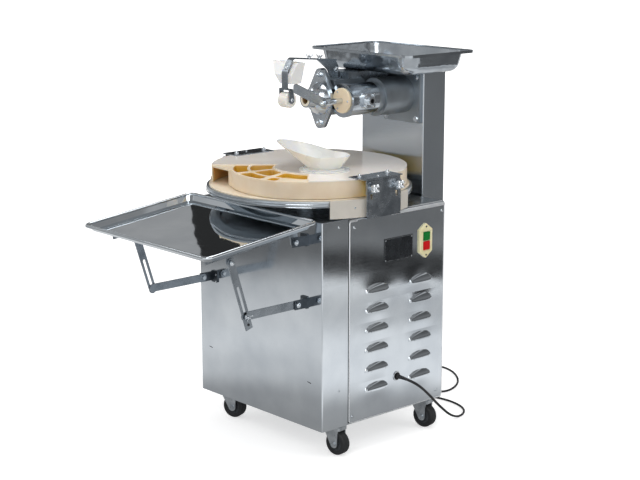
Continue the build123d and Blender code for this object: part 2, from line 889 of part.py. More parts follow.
# Rounding ring: circle and spiral wall, channel below, pockets above, drop hole
wall_end = mouth_end + (ring_radius - mouth_radius) / spiral_growth
channel_angles = [scoop_angle + (mouth_start - scoop_angle) * i / 20 for i in range(21)]
channel_outer = [
    max(
        channel_inner_radius + channel_width / 2,
        ring_radius - ring_wall - spiral_growth * (mouth_start - angle),
    )
    for angle in channel_angles
]


def ring_outline(level):
    """Plan of the ring: a circle, the edge over the exit mouth and the spiral wall."""
    with BuildSketch(Plane.XY.offset(level)) as outline:
        with BuildLine():
            ThreePointArc(
                polar(ring_radius, wall_end - 360),
                polar(ring_radius, (wall_end - 360 + mouth_start) / 2),
                polar(ring_radius, mouth_start),
            )
            Line(polar(ring_radius, mouth_start), polar(mouth_radius, mouth_end))
            Spline(*spiral(mouth_radius, mouth_end, wall_end))
        make_face()
    return outline.sketch


with BuildPart() as rounding_ring:
    extrude(ring_outline(ring_bottom), amount=ring_height)
    with BuildSketch(Plane.XY.offset(ring_bottom)):
        with BuildLine():
            outer_points = [polar(r, a) for r, a in zip(channel_outer, channel_angles)]
            inner_points = [polar(r - channel_width, a) for r, a in zip(channel_outer, channel_angles)]
            outer_side = Spline(*outer_points, polar(ring_radius + 16, mouth_end + 2))
            inner_side = Spline(*inner_points, polar(mouth_radius + 3, mouth_end + 2))
            Line(outer_side @ 1, inner_side @ 1)
            Line(outer_side @ 0, inner_side @ 0)
        make_face()
        with Locations((scoop_x, scoop_y)):
            Circle(channel_width / 2)
    extrude(amount=ring_height - ring_roof, mode=Mode.SUBTRACT)
    pocket_edges = [pocket_left, *pocket_ribs, pocket_right]
    for start, end in zip(pocket_edges, pocket_edges[1:]):
        left = start + (0 if start == pocket_left else rib / 4)
        right = end - (0 if end == pocket_right else rib / 4)
        depth = shallow_pocket if end == pocket_right else ring_height - pocket_floor
        inner = inner_rib_radius + spiral_growth * (left - pocket_right)
        middle = middle_rib_radius + spiral_growth * (left - pocket_right)
        outer = mouth_radius + spiral_growth * (left - mouth_end) - ring_wall - 1
        cells = [spiral_cell(left, right, inner, middle - rib / 2, ring_top)]
        if right <= wall_end:
            cells.append(spiral_cell(left, right, middle + rib / 2, outer, ring_top))
        else:
            cells.append(spiral_cell(left, wall_end, middle + rib / 2, outer, ring_top))
        for cell in cells:
            extrude(cell, amount=-depth, mode=Mode.SUBTRACT)
    with BuildSketch(Plane.XY.offset(ring_bottom)):
        with Locations((scoop_x, scoop_y)):
            Circle(scoop_neck_radius - scoop_wall)
    extrude(amount=ring_height, mode=Mode.SUBTRACT)
rounding_ring.part.label = "rounding_ring"
export_step(rounding_ring.part, "parts/rounding_ring.step")

# Cover plate on the ring, open over the pockets
with BuildPart() as ring_cover:
    extrude(ring_outline(ring_top), amount=cover_thickness)
    with BuildSketch(Plane.XY.offset(ring_top)):
        with BuildLine():
            cover_edge = inner_rib_radius - cover_lip + spiral_growth * (pocket_left - 2 - pocket_right)
            sector_inner = Spline(*spiral(cover_edge, pocket_left - 2, pocket_right + 1))
            sector_outer = Polyline(
                polar(ring_radius + 40, pocket_right + 1),
                polar(ring_radius + 90, (pocket_left + pocket_right) / 2),
                polar(ring_radius + 40, pocket_left - 2),
            )
            Line(sector_inner @ 1, sector_outer @ 0)
            Line(sector_outer @ 1, sector_inner @ 0)
        make_face()
        with Locations((scoop_x, scoop_y)):
            Circle(scoop_neck_radius - scoop_wall)
    extrude(amount=cover_thickness, mode=Mode.SUBTRACT)
ring_cover.part.label = "ring_cover"
export_step(ring_cover.part, "parts/ring_cover.step")

# Feed scoop: an oblique funnel that rises to one side
neck_z = cover_top + 2 * scoop_flange
scoop_plane = Plane(
    origin=(scoop_x, scoop_y, 0),
    x_dir=(-cos(radians(scoop_turn)), -sin(radians(scoop_turn)), 0),
    z_dir=(0, 0, 1),
)
scoop_side = Plane(
    origin=(scoop_x, scoop_y, 0),
    x_dir=(-cos(radians(scoop_turn)), -sin(radians(scoop_turn)), 0),
    z_dir=(-sin(radians(scoop_turn)), cos(radians(scoop_turn)), 0),
)
with BuildPart() as feed_scoop:
    with BuildSketch(scoop_plane.offset(neck_z)):
        Circle(scoop_neck_radius)
    with BuildSketch(scoop_plane.offset(scoop_rim_high)):
        with Locations((scoop_lean, 0)):
            Ellipse(scoop_long, scoop_wide)
    loft(ruled=True)
    with BuildSketch(scoop_plane.offset(cover_top)):
        Circle(scoop_flange_radius)
    extrude(amount=scoop_flange)
    with BuildSketch(scoop_plane.offset(cover_top)):
        Circle(scoop_step_radius)
    extrude(amount=2 * scoop_flange)
    with BuildSketch(scoop_plane.offset(neck_z)):
        Circle(scoop_neck_radius - scoop_wall)
    with BuildSketch(scoop_plane.offset(scoop_rim_high)):
        with Locations((scoop_lean, 0)):
            Ellipse(scoop_long - scoop_wall, scoop_wide - scoop_wall)
    loft(ruled=True, mode=Mode.SUBTRACT)
    with BuildSketch(scoop_plane.offset(cover_top)):
        Circle(scoop_neck_radius - scoop_wall)
    extrude(amount=2 * scoop_flange, mode=Mode.SUBTRACT)
    with BuildSketch(scoop_side):
        with BuildLine():
            Polyline(
                (-2 * scoop_long, scoop_rim_low),
                (0, scoop_rim_low),
                (scoop_lean + scoop_long, scoop_rim_high - 1),
                (2 * scoop_long, scoop_rim_high),
                (2 * scoop_long, scoop_rim_high + scoop_long),
                (-2 * scoop_long, scoop_rim_high + scoop_long),
                close=True,
            )
        make_face()
    extrude(amount=2 * scoop_wide, both=True, mode=Mode.SUBTRACT)
feed_scoop.part.label = "feed_scoop"
export_step(feed_scoop.part, "parts/feed_scoop.step")

# Ring brackets on the top plate, one each side
bracket_plane = Plane(origin=(bracket_x, disc_y, 0), x_dir=(0, 1, 0), z_dir=(1, 0, 0))
with BuildPart() as ring_brackets:
    with BuildSketch(bracket_plane) as bracket_face:
        with Locations((0, (cabinet_top + bracket_top) / 2)):
            Rectangle(bracket_length, bracket_top - cabinet_top)
        fillet(bracket_face.vertices().group_by(Axis.Z)[-1], 12)
        with Locations((0, (slot_bottom + slot_top) / 2)):
            with GridLocations(slot_spacing, 0, 2, 1):
                SlotOverall(slot_top - slot_bottom, slot_width, rotation=90, mode=Mode.SUBTRACT)
    extrude(amount=bracket_plate)
    with BuildSketch(Plane.XY.offset(cabinet_top)):
        with Locations(((bracket_foot_x + bracket_x + bracket_plate) / 2, disc_y)):
            Rectangle(bracket_x + bracket_plate - bracket_foot_x, bracket_length)
    extrude(amount=bracket_plate)
    mirror(about=Plane.YZ)
ring_brackets.part.label = "ring_brackets"
export_step(ring_brackets.part, "parts/ring_brackets.step")

# Hangers that carry the ring on the brackets
hanger_outer_x = bracket_x - slide_gap
with BuildPart() as ring_hangers:
    with BuildSketch(Plane.XY.offset(cover_top)):
        with Locations(((hanger_inner_x + hanger_outer_x) / 2, disc_y)):
            Rectangle(hanger_outer_x - hanger_inner_x, hanger_length)
    extrude(amount=hanger_plate)
    with BuildSketch(Plane.XY.offset(hanger_bottom)):
        with Locations((hanger_outer_x - hanger_plate / 2, disc_y)):
            Rectangle(hanger_plate, bracket_length)
    extrude(amount=cover_top - hanger_bottom)
    mirror(about=Plane.YZ)
ring_hangers.part.label = "ring_hangers"
export_step(ring_hangers.part, "parts/ring_hangers.step")

# Clamping knobs, their studs through the bracket slots
knob_plane = Plane(origin=(hanger_outer_x, disc_y, knob_z), x_dir=(0, 1, 0), z_dir=(1, 0, 0))
knob_neck = bracket_x + bracket_plate + slide_gap - hanger_outer_x
with BuildPart() as ring_knobs:
    with BuildSketch(knob_plane):
        with GridLocations(slot_spacing, 0, 2, 1):
            Circle(knob_stud)
    extrude(amount=knob_neck)
    with BuildSketch(knob_plane.offset(knob_neck)):
        with GridLocations(slot_spacing, 0, 2, 1):
            Circle(knob_stud + 4)
    extrude(amount=knob_shank)
    with BuildSketch(knob_plane.offset(knob_reach - knob_head - hanger_outer_x)):
        with GridLocations(slot_spacing, 0, 2, 1):
            Circle(knob_lobe + 5)
            with PolarLocations(knob_lobe + 4, 4, start_angle=45):
                Circle(knob_lobe)
    extrude(amount=knob_head)
    mirror(about=Plane.YZ)
ring_knobs.part.label = "ring_knobs"
export_step(ring_knobs.part, "parts/ring_knobs.step")

# Arc guards beside the disc, on the brackets
guard_outer = guard_inner + guard_wall
with BuildPart() as disc_guards:
    with BuildSketch(Plane.XY.offset(guard_bottom)):
        with BuildLine():
            guard_mid = (guard_start + guard_end) / 2
            near = ThreePointArc(
                polar(guard_inner, guard_start),
                polar(guard_inner, guard_mid),
                polar(guard_inner, guard_end),
            )
            far = ThreePointArc(
                polar(guard_outer, guard_start),
                polar(guard_outer, guard_mid),
                polar(guard_outer, guard_end),
            )
            Line(near @ 0, far @ 0)
            Line(near @ 1, far @ 1)
        make_face()
        with Locations(((guard_inner + bracket_x) / 2, disc_y)):
            Rectangle(bracket_x - guard_inner, guard_pad)
    extrude(amount=guard_top - guard_bottom)
    mirror(about=Plane.YZ)
disc_guards.part.label = "disc_guards"
export_step(disc_guards.part, "parts/disc_guards.step")

# Tray: flared pan with a rolled rim
rim_length = tray_length - 2 * tray_rim_radius
rim_width = tray_width - 2 * tray_rim_radius
with BuildPart() as tray_rim:
    with BuildSketch(tray_plane.offset(rim_centre_height - tray_rim_radius)):
        with Locations((0, -tray_mid)):
            RectangleRounded(tray_length, tray_width, tray_corner)
            RectangleRounded(
                tray_length - 4 * tray_rim_radius,
                tray_width - 4 * tray_rim_radius,
                tray_corner - 2 * tray_rim_radius,
                mode=Mode.SUBTRACT,
            )
    extrude(amount=2 * tray_rim_radius)
    rim_flats = tray_rim.faces().filter_by(Axis((0, 0, 0), tray_plane.z_dir))
    fillet(rim_flats.edges(), tray_rim_radius - 0.1)
with BuildPart() as tray_pan:
    with BuildSketch(tray_plane.offset(tray_floor)):
        with Locations((0, -tray_mid)):
            RectangleRounded(rim_length - 2 * tray_flare, rim_width - 2 * tray_flare, tray_corner - 8)
    with BuildSketch(tray_plane.offset(rim_centre_height)):
        with Locations((0, -tray_mid)):
            RectangleRounded(rim_length, rim_width, tray_corner - tray_rim_radius)
    loft(ruled=True)
    with BuildSketch(tray_plane.offset(tray_floor + tray_wall)):
        with Locations((0, -tray_mid)):
            RectangleRounded(
                rim_length - 2 * tray_flare - 2 * tray_wall,
                rim_width - 2 * tray_flare - 2 * tray_wall,
                tray_corner - 8 - tray_wall,
            )
    with BuildSketch(tray_plane.offset(rim_centre_height + tray_wall)):
        with Locations((0, -tray_mid)):
            RectangleRounded(
                rim_length - 2 * tray_wall,
                rim_width - 2 * tray_wall,
                tray_corner - tray_rim_radius - tray_wall,
            )
    loft(ruled=True, mode=Mode.SUBTRACT)
    add(tray_rim.part)
tray_pan.part.label = "tray_pan"
export_step(tray_pan.part, "parts/tray_pan.step")

# Rails under the tray, with the tabs for the hinge and the strut
rail_plane = Plane(
    origin=(arm_x, hinge_y, hinge_z),
    x_dir=(0, -pitch_cos, -pitch_sin),
    z_dir=(-1, 0, 0),
)
with BuildPart() as tray_rails:
    with BuildSketch(rail_plane):
        with Locations(((rail_front - rail_rear) / 2, (rail_bottom + tray_floor) / 2)):
            Rectangle(rail_front + rail_rear, tray_floor - rail_bottom)
    extrude(amount=arm_plate)
    for pivot_u, pivot_h in ((0, 0), (strut_pivot, strut_rise)):
        with BuildSketch(rail_plane):
            with Locations((pivot_u, pivot_h)):
                Circle(arm_width / 2 + 1)
            with Locations((pivot_u, rail_bottom + 2)):
                Rectangle(2 * rail_rear, 4)
            make_hull()
        extrude(amount=arm_plate)
    with BuildSketch(tray_plane.offset(tray_floor - 3)):
        with Locations((arm_x - rail_flange / 2, -(rail_front - rail_rear) / 2)):
            Rectangle(rail_flange, rail_front + rail_rear)
    extrude(amount=3)
    with BuildSketch(rail_plane):
        Circle(pin_radius + running_fit)
    extrude(amount=arm_plate, mode=Mode.SUBTRACT)
    with BuildSketch(rail_plane):
        with Locations((strut_pivot, strut_rise)):
            Circle(pin_radius)
    extrude(amount=arm_x - pin_end - slide_gap)
    with BuildSketch(rail_plane.offset(arm_x - pin_end - slide_gap)):
        with Locations((strut_pivot, strut_rise)):
            Circle(pin_head)
    extrude(amount=-4)
    mirror(about=Plane.YZ)
tray_rails.part.label = "tray_rails"
export_step(tray_rails.part, "parts/tray_rails.step")

# Slotted struts, the right one with a square tail
with BuildPart() as tray_struts:
    with BuildSketch(strut_plane):
        with Locations(((strut_reach + strut_end) / 2, 0)):
            SlotOverall(strut_reach + strut_end + arm_width, arm_width)
        with Locations(((strut_slot_start + strut_reach) / 2, 0)):
            SlotOverall(strut_reach - strut_slot_start + knee_slot, knee_slot, mode=Mode.SUBTRACT)
        Circle(pin_radius + running_fit, mode=Mode.SUBTRACT)
    extrude(amount=arm_plate)
    mirror(about=Plane.YZ)
    with BuildSketch(strut_plane):
        with Locations((strut_reach + (strut_end + strut_tail) / 2, 0)):
            Rectangle(strut_tail - strut_end, arm_width)
    extrude(amount=arm_plate)
tray_struts.part.label = "tray_struts"
export_step(tray_struts.part, "parts/tray_struts.step")

# Links between the lower clips and the strut slots
link_plane = Plane(origin=(arm_x, link_y, link_pivot_z), x_dir=(0, -1, 0), z_dir=(-1, 0, 0))
with BuildPart() as tray_links:
    with BuildSketch(link_plane):
        with Locations((link_length / 2, 0)):
            SlotOverall(link_length + arm_width, arm_width)
        Circle(pin_radius + running_fit, mode=Mode.SUBTRACT)
    extrude(amount=arm_plate)
    with BuildSketch(link_plane):
        with Locations((link_length, 0)):
            Circle(knee_pin)
    extrude(amount=arm_x - pin_end - slide_gap)
    with BuildSketch(link_plane.offset(arm_x - pin_end - slide_gap)):
        with Locations((link_length, 0)):
            Circle(pin_head + 1)
    extrude(amount=-5)
    mirror(about=Plane.YZ)
tray_links.part.label = "tray_links"
export_step(tray_links.part, "parts/tray_links.step")

# Clips on the cabinet front and their pins
clip_pivots = [(hinge_y, hinge_z), (link_y, link_pivot_z)]
with BuildPart() as hinge_clips:
    for pivot_y, pivot_z in clip_pivots:
        clip_length = front_y - pivot_y + clip_end
        with BuildSketch(Plane(origin=(strut_x, pivot_y, pivot_z), x_dir=(0, 1, 0), z_dir=(1, 0, 0))):
            with Locations((clip_length / 2 - clip_end, 0)):
                Rectangle(clip_length, clip_height)
            Circle(pin_radius + running_fit, mode=Mode.SUBTRACT)
        extrude(amount=arm_plate)
        with BuildSketch(Plane(origin=(pin_end, front_y, pivot_z), x_dir=(1, 0, 0), z_dir=(0, -1, 0))):
            with Locations((-clip_ear / 2, 0)):
                RectangleRounded(clip_ear, clip_ear_height, 4)
        extrude(amount=arm_plate)
    mirror(about=Plane.YZ)
hinge_clips.part.label = "hinge_clips"
export_step(hinge_clips.part, "parts/hinge_clips.step")

with BuildPart() as hinge_pins:
    for pivot_y, pivot_z in clip_pivots:
        pin_plane = Plane(origin=(pin_end, pivot_y, pivot_z), x_dir=(0, 1, 0), z_dir=(1, 0, 0))
        with BuildSketch(pin_plane):
            Circle(pin_head)
        extrude(amount=5)
        with BuildSketch(pin_plane):
            Circle(pin_radius)
        extrude(amount=arm_x - arm_plate - slide_gap - pin_end)
        with BuildSketch(pin_plane.offset(arm_x - arm_plate - slide_gap - pin_end)):
            Circle(pin_head - 1)
        extrude(amount=-4)
    mirror(about=Plane.YZ)
hinge_pins.part.label = "hinge_pins"
export_step(hinge_pins.part, "parts/hinge_pins.step")

# Column behind the cabinet
column_width = column_right - column_left
column_x = (column_left + column_right) / 2
with BuildPart() as column:
    with BuildSketch(Plane.XY.offset(column_bottom)):
        with Locations((column_x, column_front + column_depth / 2)):
            RectangleRounded(column_width, column_depth, shell_fold)
    extrude(amount=pan_bottom_z - column_bottom)
    with BuildSketch(Plane.XY.offset(column_bottom + sheet)):
        with Locations((column_x, column_front + column_depth / 2)):
            Rectangle(column_width - 2 * sheet, column_depth - 2 * sheet)
    extrude(amount=pan_bottom_z - 2 * sheet - column_bottom, mode=Mode.SUBTRACT)
    with BuildSketch(Plane(origin=(0, column_front, head_z), x_dir=(1, 0, 0), z_dir=(0, -1, 0))):
        Circle(auger_core + running_fit)
        with Locations((knife_x, 0)):
            Circle(knife_shaft + running_fit)
    extrude(amount=-sheet, mode=Mode.SUBTRACT)
    with BuildSketch(Plane.XY.offset(column_bottom)):
        with Locations((column_x, back_y + column_gap / 2)):
            with GridLocations(column_width - 2 * column_pad, 0, 2, 1):
                Rectangle(column_pad, column_gap)
    extrude(amount=cabinet_top - column_pad - column_bottom)
column.part.label = "column"
export_step(column.part, "parts/column.step")

# Gearmotor in the column that turns the auger and the knife
gear_front = column_front + sheet
gear_x = knife_x / 2
shaft_end = gear_front + gear_depth / 2
with BuildPart() as feed_gearmotor:
    with BuildSketch(Plane(origin=(gear_x, gear_front, head_z), x_dir=(1, 0, 0), z_dir=(0, 1, 0))):
        Rectangle(gear_width, gear_height)
    extrude(amount=gear_depth)
    with BuildSketch(Plane.XY.offset(head_z - gear_height / 2)):
        with Locations((gear_x, gear_front + gear_depth / 2)):
            Circle(gear_motor_radius)
    extrude(amount=-gear_motor_length)
    with BuildSketch(Plane(origin=(0, gear_front, head_z), x_dir=(1, 0, 0), z_dir=(0, -1, 0))):
        Circle(auger_core + running_fit)
        with Locations((knife_x, 0)):
            Circle(knife_shaft + running_fit)
    extrude(amount=-gear_depth / 2 - 1, mode=Mode.SUBTRACT)
feed_gearmotor.part.label = "feed_gearmotor"
export_step(feed_gearmotor.part, "parts/feed_gearmotor.step")

# Hopper pan: a dish with steep walls, a round lower edge and a flat lip
pan_place = (pan_centre_x, cabinet_y + pan_centre_y)
floor_length = pan_length - 2 * pan_lip - 2 * pan_slope
floor_width = pan_width - 2 * pan_lip - 2 * pan_slope
pan_taper = degrees(atan2(pan_slope, pan_height))
with BuildPart() as pan_inside:
    with BuildSketch(Plane.XY.offset(pan_bottom_z + pan_wall)):
        with Locations(pan_place):
            RectangleRounded(
                floor_length - 2 * pan_wall,
                floor_width - 2 * pan_wall,
                floor_corner - pan_wall,
            )
    extrude(amount=pan_height, taper=-pan_taper)
    fillet(pan_inside.faces().sort_by(Axis.Z)[0].edges(), pan_bend - pan_wall)
with BuildPart() as hopper_pan:
    with BuildSketch(Plane.XY.offset(pan_bottom_z)):
        with Locations(pan_place):
            RectangleRounded(floor_length, floor_width, floor_corner)
    extrude(amount=pan_height, taper=-pan_taper)
    fillet(hopper_pan.faces().sort_by(Axis.Z)[0].edges(), pan_bend)
    with BuildSketch(Plane.XY.offset(pan_rim_z - pan_wall)):
        with Locations(pan_place):
            RectangleRounded(pan_length, pan_width, pan_corner)
    extrude(amount=pan_wall)
    with BuildSketch(Plane.XY.offset(pan_rim_z - pan_rim_radius)):
        with Locations(pan_place):
            RectangleRounded(pan_length, pan_width, pan_corner)
            RectangleRounded(
                pan_length - 2 * pan_rim_radius,
                pan_width - 2 * pan_rim_radius,
                pan_corner - pan_rim_radius,
                mode=Mode.SUBTRACT,
            )
    extrude(amount=2 * pan_rim_radius)
    add(pan_inside.part, mode=Mode.SUBTRACT)
    with BuildSketch(Plane.XY.offset(pan_bottom_z)):
        with Locations((0, cabinet_y + (throat_mouth_front + throat_back - throat_wall) / 2)):
            Rectangle(2 * (throat_half - throat_wall), throat_back - throat_wall - throat_mouth_front)
    extrude(amount=pan_wall, mode=Mode.SUBTRACT)
hopper_pan.part.label = "hopper_pan"
export_step(hopper_pan.part, "parts/hopper_pan.step")

# Feed throat between the pan and the barrel
with BuildPart() as feed_throat:
    with BuildSketch(Plane.XY.offset(saddle_z)):
        with Locations((0, cabinet_y + (throat_front + throat_back) / 2)):
            Rectangle(2 * throat_half, throat_back - throat_front)
    extrude(amount=pan_bottom_z - saddle_z)
    with BuildSketch(Plane.XY.offset(saddle_z)):
        with Locations((0, cabinet_y + (throat_mouth_front + throat_back - throat_wall) / 2)):
            Rectangle(2 * (throat_half - throat_wall), throat_back - throat_wall - throat_mouth_front)
    extrude(amount=pan_bottom_z - saddle_z, mode=Mode.SUBTRACT)
feed_throat.part.label = "feed_throat"
export_step(feed_throat.part, "parts/feed_throat.step")

# Auger barrel with its saddle and two-eared flange, relieved for the cutter housing
with BuildPart() as auger_barrel:
    with BuildSketch(across(0, barrel_back)):
        Circle(barrel_radius)
    extrude(amount=barrel_back - barrel_front)
    with BuildSketch(Plane.XY.offset(head_z)):
        with Locations((0, cabinet_y + (saddle_front + throat_back) / 2)):
            Rectangle(2 * throat_half, throat_back - saddle_front)
    extrude(amount=saddle_z - head_z)
    with BuildSketch(across(0, barrel_front)):
        Circle(nozzle_radius)
        with GridLocations(0, 2 * ear_height, 1, 2):
            Circle(ear_radius)
        make_hull()
    extrude(amount=-nozzle_flange)
    with BuildSketch(across(0, barrel_back)):
        Circle(auger_bore)
    extrude(amount=barrel_back - barrel_front, mode=Mode.SUBTRACT)
    with BuildSketch(Plane.XY.offset(head_z)):
        with Locations((0, cabinet_y + (throat_mouth_front + throat_back - throat_wall) / 2)):
            Rectangle(2 * auger_bore, throat_back - throat_wall - throat_mouth_front)
    extrude(amount=saddle_z - head_z, mode=Mode.SUBTRACT)
    with BuildSketch(across(knife_x, barrel_front)):
        Circle(housing_rim + running_fit)
    extrude(amount=-(barrel_back - housing_plate_thickness - barrel_front), mode=Mode.SUBTRACT)
    with BuildSketch(across(knife_x, housing_step - slide_gap)):
        Circle(housing_rear_radius + running_fit)
    extrude(amount=-(barrel_back - housing_plate_thickness - housing_step + slide_gap), mode=Mode.SUBTRACT)
auger_barrel.part.label = "auger_barrel"
export_step(auger_barrel.part, "parts/auger_barrel.step")

# Auger: core with a helical flight
flight_length = throat_back - barrel_front - 4
with BuildPart() as auger_flight:
    with BuildLine() as flight_path:
        Helix(auger_pitch, flight_length, auger_radius - flight_depth / 2)
    with BuildSketch(Plane(origin=flight_path.line @ 0, x_dir=(1, 0, 0), z_dir=flight_path.line % 0)):
        Rectangle(flight_depth, flight_thickness)
    sweep(path=flight_path.line, is_frenet=True)
with BuildPart() as auger:
    with BuildSketch(across(0, barrel_front + 2)):
        Circle(auger_core)
    extrude(amount=-(shaft_end - cabinet_y - barrel_front - 2))
    with Locations(across(0, throat_back)):
        add(auger_flight.part)
auger.part.label = "auger"
export_step(auger.part, "parts/auger.step")

# Nozzle head: eared flange, dome and snout, bored to a cone, with a liner in the outlet
dome_plane = Plane(origin=(0, cabinet_y, head_z), x_dir=(1, 0, 0), z_dir=(0, 0, 1))
with BuildPart() as nozzle_head:
    with BuildSketch(across(0, barrel_front)):
        Circle(nozzle_radius)
        with GridLocations(0, 2 * ear_height, 1, 2):
            Circle(ear_radius)
        make_hull()
    extrude(amount=nozzle_flange)
    with BuildSketch(dome_plane):
        with BuildLine():
            Line((0, nozzle_front + 2), (nozzle_radius - 4, nozzle_front + 2))
            Line((nozzle_radius - 4, nozzle_front + 2), (nozzle_radius - 4, nozzle_front - 4))
            ThreePointArc(
                (nozzle_radius - 4, nozzle_front - 4),
                (nozzle_radius - 14, nozzle_front - nozzle_dome * 0.62),
                (snout_radius + 3, nozzle_front - nozzle_dome),
            )
            Line((snout_radius + 3, nozzle_front - nozzle_dome), (snout_radius, nozzle_outlet))
            Line((snout_radius, nozzle_outlet), (0, nozzle_outlet))
            Line((0, nozzle_outlet), (0, nozzle_front + 2))
        make_face()
    revolve(axis=Axis((0, cabinet_y, head_z), (0, 1, 0)))
    liner_back = nozzle_outlet + nozzle_liner_length
    with BuildSketch(dome_plane):
        with BuildLine():
            Polyline(
                (0, barrel_front),
                (auger_bore, barrel_front),
                (nozzle_bore, liner_back),
                (nozzle_liner_radius + running_fit, liner_back),
                (nozzle_liner_radius + running_fit, nozzle_outlet),
                (0, nozzle_outlet),
                close=True,
            )
        make_face()
    revolve(axis=Axis((0, cabinet_y, head_z), (0, 1, 0)), mode=Mode.SUBTRACT)
nozzle_head.part.label = "nozzle_head"
export_step(nozzle_head.part, "parts/nozzle_head.step")

with BuildPart() as nozzle_liner:
    with BuildSketch(across(0, liner_back)):
        Circle(nozzle_liner_radius)
        Circle(nozzle_bore, mode=Mode.SUBTRACT)
    extrude(amount=nozzle_liner_length + 0.3)
nozzle_liner.part.label = "nozzle_liner"
export_step(nozzle_liner.part, "parts/nozzle_liner.step")

# Cutter housing beside the barrel, with its cap, shaft and knife
housing_plate_plane = Plane(
    origin=(knife_x, column_front, housing_plate_z),
    x_dir=(1, 0, 0),
    z_dir=(0, -1, 0),
)
with BuildPart() as cutter_housing:
    with BuildSketch(housing_plate_plane):
        RectangleRounded(housing_plate, housing_plate, 6)
        with Locations((-knife_x, head_z - housing_plate_z)):
            Circle(barrel_radius + running_fit, mode=Mode.SUBTRACT)
    extrude(amount=housing_plate_thickness)
    with BuildSketch(across(knife_x, barrel_back - housing_plate_thickness)):
        Circle(housing_rear_radius)
    extrude(amount=barrel_back - housing_plate_thickness - housing_step)
    with BuildSketch(across(knife_x, housing_step)):
        Circle(housing_radius)
    extrude(amount=housing_step - housing_front)
    with BuildSketch(across(knife_x, housing_front + housing_rim_length)):
        Circle(housing_rim)
    extrude(amount=housing_rim_length)
    with BuildSketch(across(knife_x, barrel_back)):
        Circle(knife_shaft + running_fit)
    extrude(amount=barrel_back - housing_front, mode=Mode.SUBTRACT)
cutter_housing.part.label = "cutter_housing"
export_step(cutter_housing.part, "parts/cutter_housing.step")

with BuildPart() as housing_cap:
    with BuildSketch(across(knife_x, housing_front)):
        Circle(cap_radius)
        Circle(knife_shaft + running_fit, mode=Mode.SUBTRACT)
    extrude(amount=cap_thickness)
    fillet(housing_cap.faces().sort_by(Axis.Y)[0].outer_wire().edges(), 1.5)
housing_cap.part.label = "housing_cap"
export_step(housing_cap.part, "parts/housing_cap.step")

socket_plane = Plane(
    origin=(knife_x, cabinet_y + socket_y, head_z),
    x_dir=(0, 1, 0),
    z_dir=(1, 0, 0),
)
with BuildPart() as flange_socket:
    with BuildSketch(socket_plane):
        RectangleRounded(socket_size, socket_size, 4)
    extrude(amount=socket_reach - knife_x)
    with BuildSketch(socket_plane.offset(socket_reach - knife_x)):
        Circle(socket_boss)
        Circle(socket_boss - 5, mode=Mode.SUBTRACT)
    extrude(amount=socket_boss_reach - socket_reach)
    with BuildSketch(across(knife_x, barrel_back)):
        Circle(housing_radius + running_fit)
    extrude(amount=barrel_back - housing_front, mode=Mode.SUBTRACT)
flange_socket.part.label = "flange_socket"
export_step(flange_socket.part, "parts/flange_socket.step")

with BuildPart() as cutter_shaft:
    with BuildSketch(across(knife_x, knife_back)):
        Circle(knife_shaft)
    extrude(amount=-(shaft_end - cabinet_y - knife_back))
    with BuildSketch(across(knife_x, knife_back)):
        Circle(knife_shaft * 0.5)
    extrude(amount=knife_thickness)
cutter_shaft.part.label = "cutter_shaft"
export_step(cutter_shaft.part, "parts/cutter_shaft.step")

blade_plane = Plane(
    origin=(knife_x, cabinet_y + knife_back, head_z),
    x_dir=(-cos(radians(knife_rise)), 0, sin(radians(knife_rise))),
    z_dir=(0, -1, 0),
)
with BuildPart() as cutter_knife:
    with BuildSketch(blade_plane) as blade:
        with BuildLine():
            Polyline(
                (0, knife_hub),
                (0, -knife_hub),
                (knife_length - 8, -knife_width / 2),
                (knife_length, -knife_width / 4),
                (knife_length - 4, knife_width / 2),
                close=True,
            )
        make_face()
        Circle(knife_hub)
        Circle(knife_shaft * 0.5 + running_fit, mode=Mode.SUBTRACT)
    extrude(amount=knife_thickness)
cutter_knife.part.label = "cutter_knife"
export_step(cutter_knife.part, "parts/cutter_knife.step")

# Flour duster: bracket on the saddle, bent arm, flour hopper and roller
side_plane = Plane(origin=(0, cabinet_y, 0), x_dir=(0, 1, 0), z_dir=(1, 0, 0))
with BuildPart() as arm_bracket:
    with BuildSketch(Plane.XY.offset(saddle_z)):
        with Locations((0, cabinet_y + (saddle_front + throat_front) / 2)):
            Rectangle(4 * web_thickness, throat_front - saddle_front - 4)
    extrude(amount=6)
    with BuildSketch(side_plane):
        with BuildLine():
            Polyline(
                (saddle_front + 30, saddle_z),
                (throat_front - 4, saddle_z),
                (throat_front - 2, web_top),
                (arm_back[0] + 4, under_arm(arm_back[0] + 4)),
                (web_front, under_arm(web_front)),
                (saddle_front + 12, web_step),
                close=True,
            )
        make_face()
    extrude(amount=web_thickness / 2, both=True)
arm_bracket.part.label = "arm_bracket"
export_step(arm_bracket.part, "parts/arm_bracket.step")

fork_span = roller_length / 2 + 1.5
with BuildPart() as roller_arm:
    with BuildSketch(side_plane):
        with BuildLine() as arm_line:
            FilletPolyline(arm_back, arm_top, arm_knee, arm_foot, radius=arm_bend)
        trace(arm_line.line, line_width=arm_thickness)
    extrude(amount=arm_strip / 2, both=True)
    with BuildSketch(side_plane):
        with Locations((arm_foot[0] + 4, arm_foot[1])):
            Rectangle(14, arm_thickness)
    extrude(amount=fork_span + cheek, both=True)
    for cheek_side in (-1, 1):
        with BuildSketch(side_plane.offset(cheek_side * fork_span)):
            with Locations((roller_y, roller_z)):
                Circle(cheek_end)
            with Locations((arm_foot[0] + 4, arm_foot[1])):
                Rectangle(14, arm_thickness)
            make_hull()
        extrude(amount=cheek_side * cheek)
    with BuildSketch(side_plane):
        with Locations((roller_y, roller_z)):
            Circle(roller_axle)
    extrude(amount=fork_span + cheek, both=True)
roller_arm.part.label = "roller_arm"
export_step(roller_arm.part, "parts/roller_arm.step")

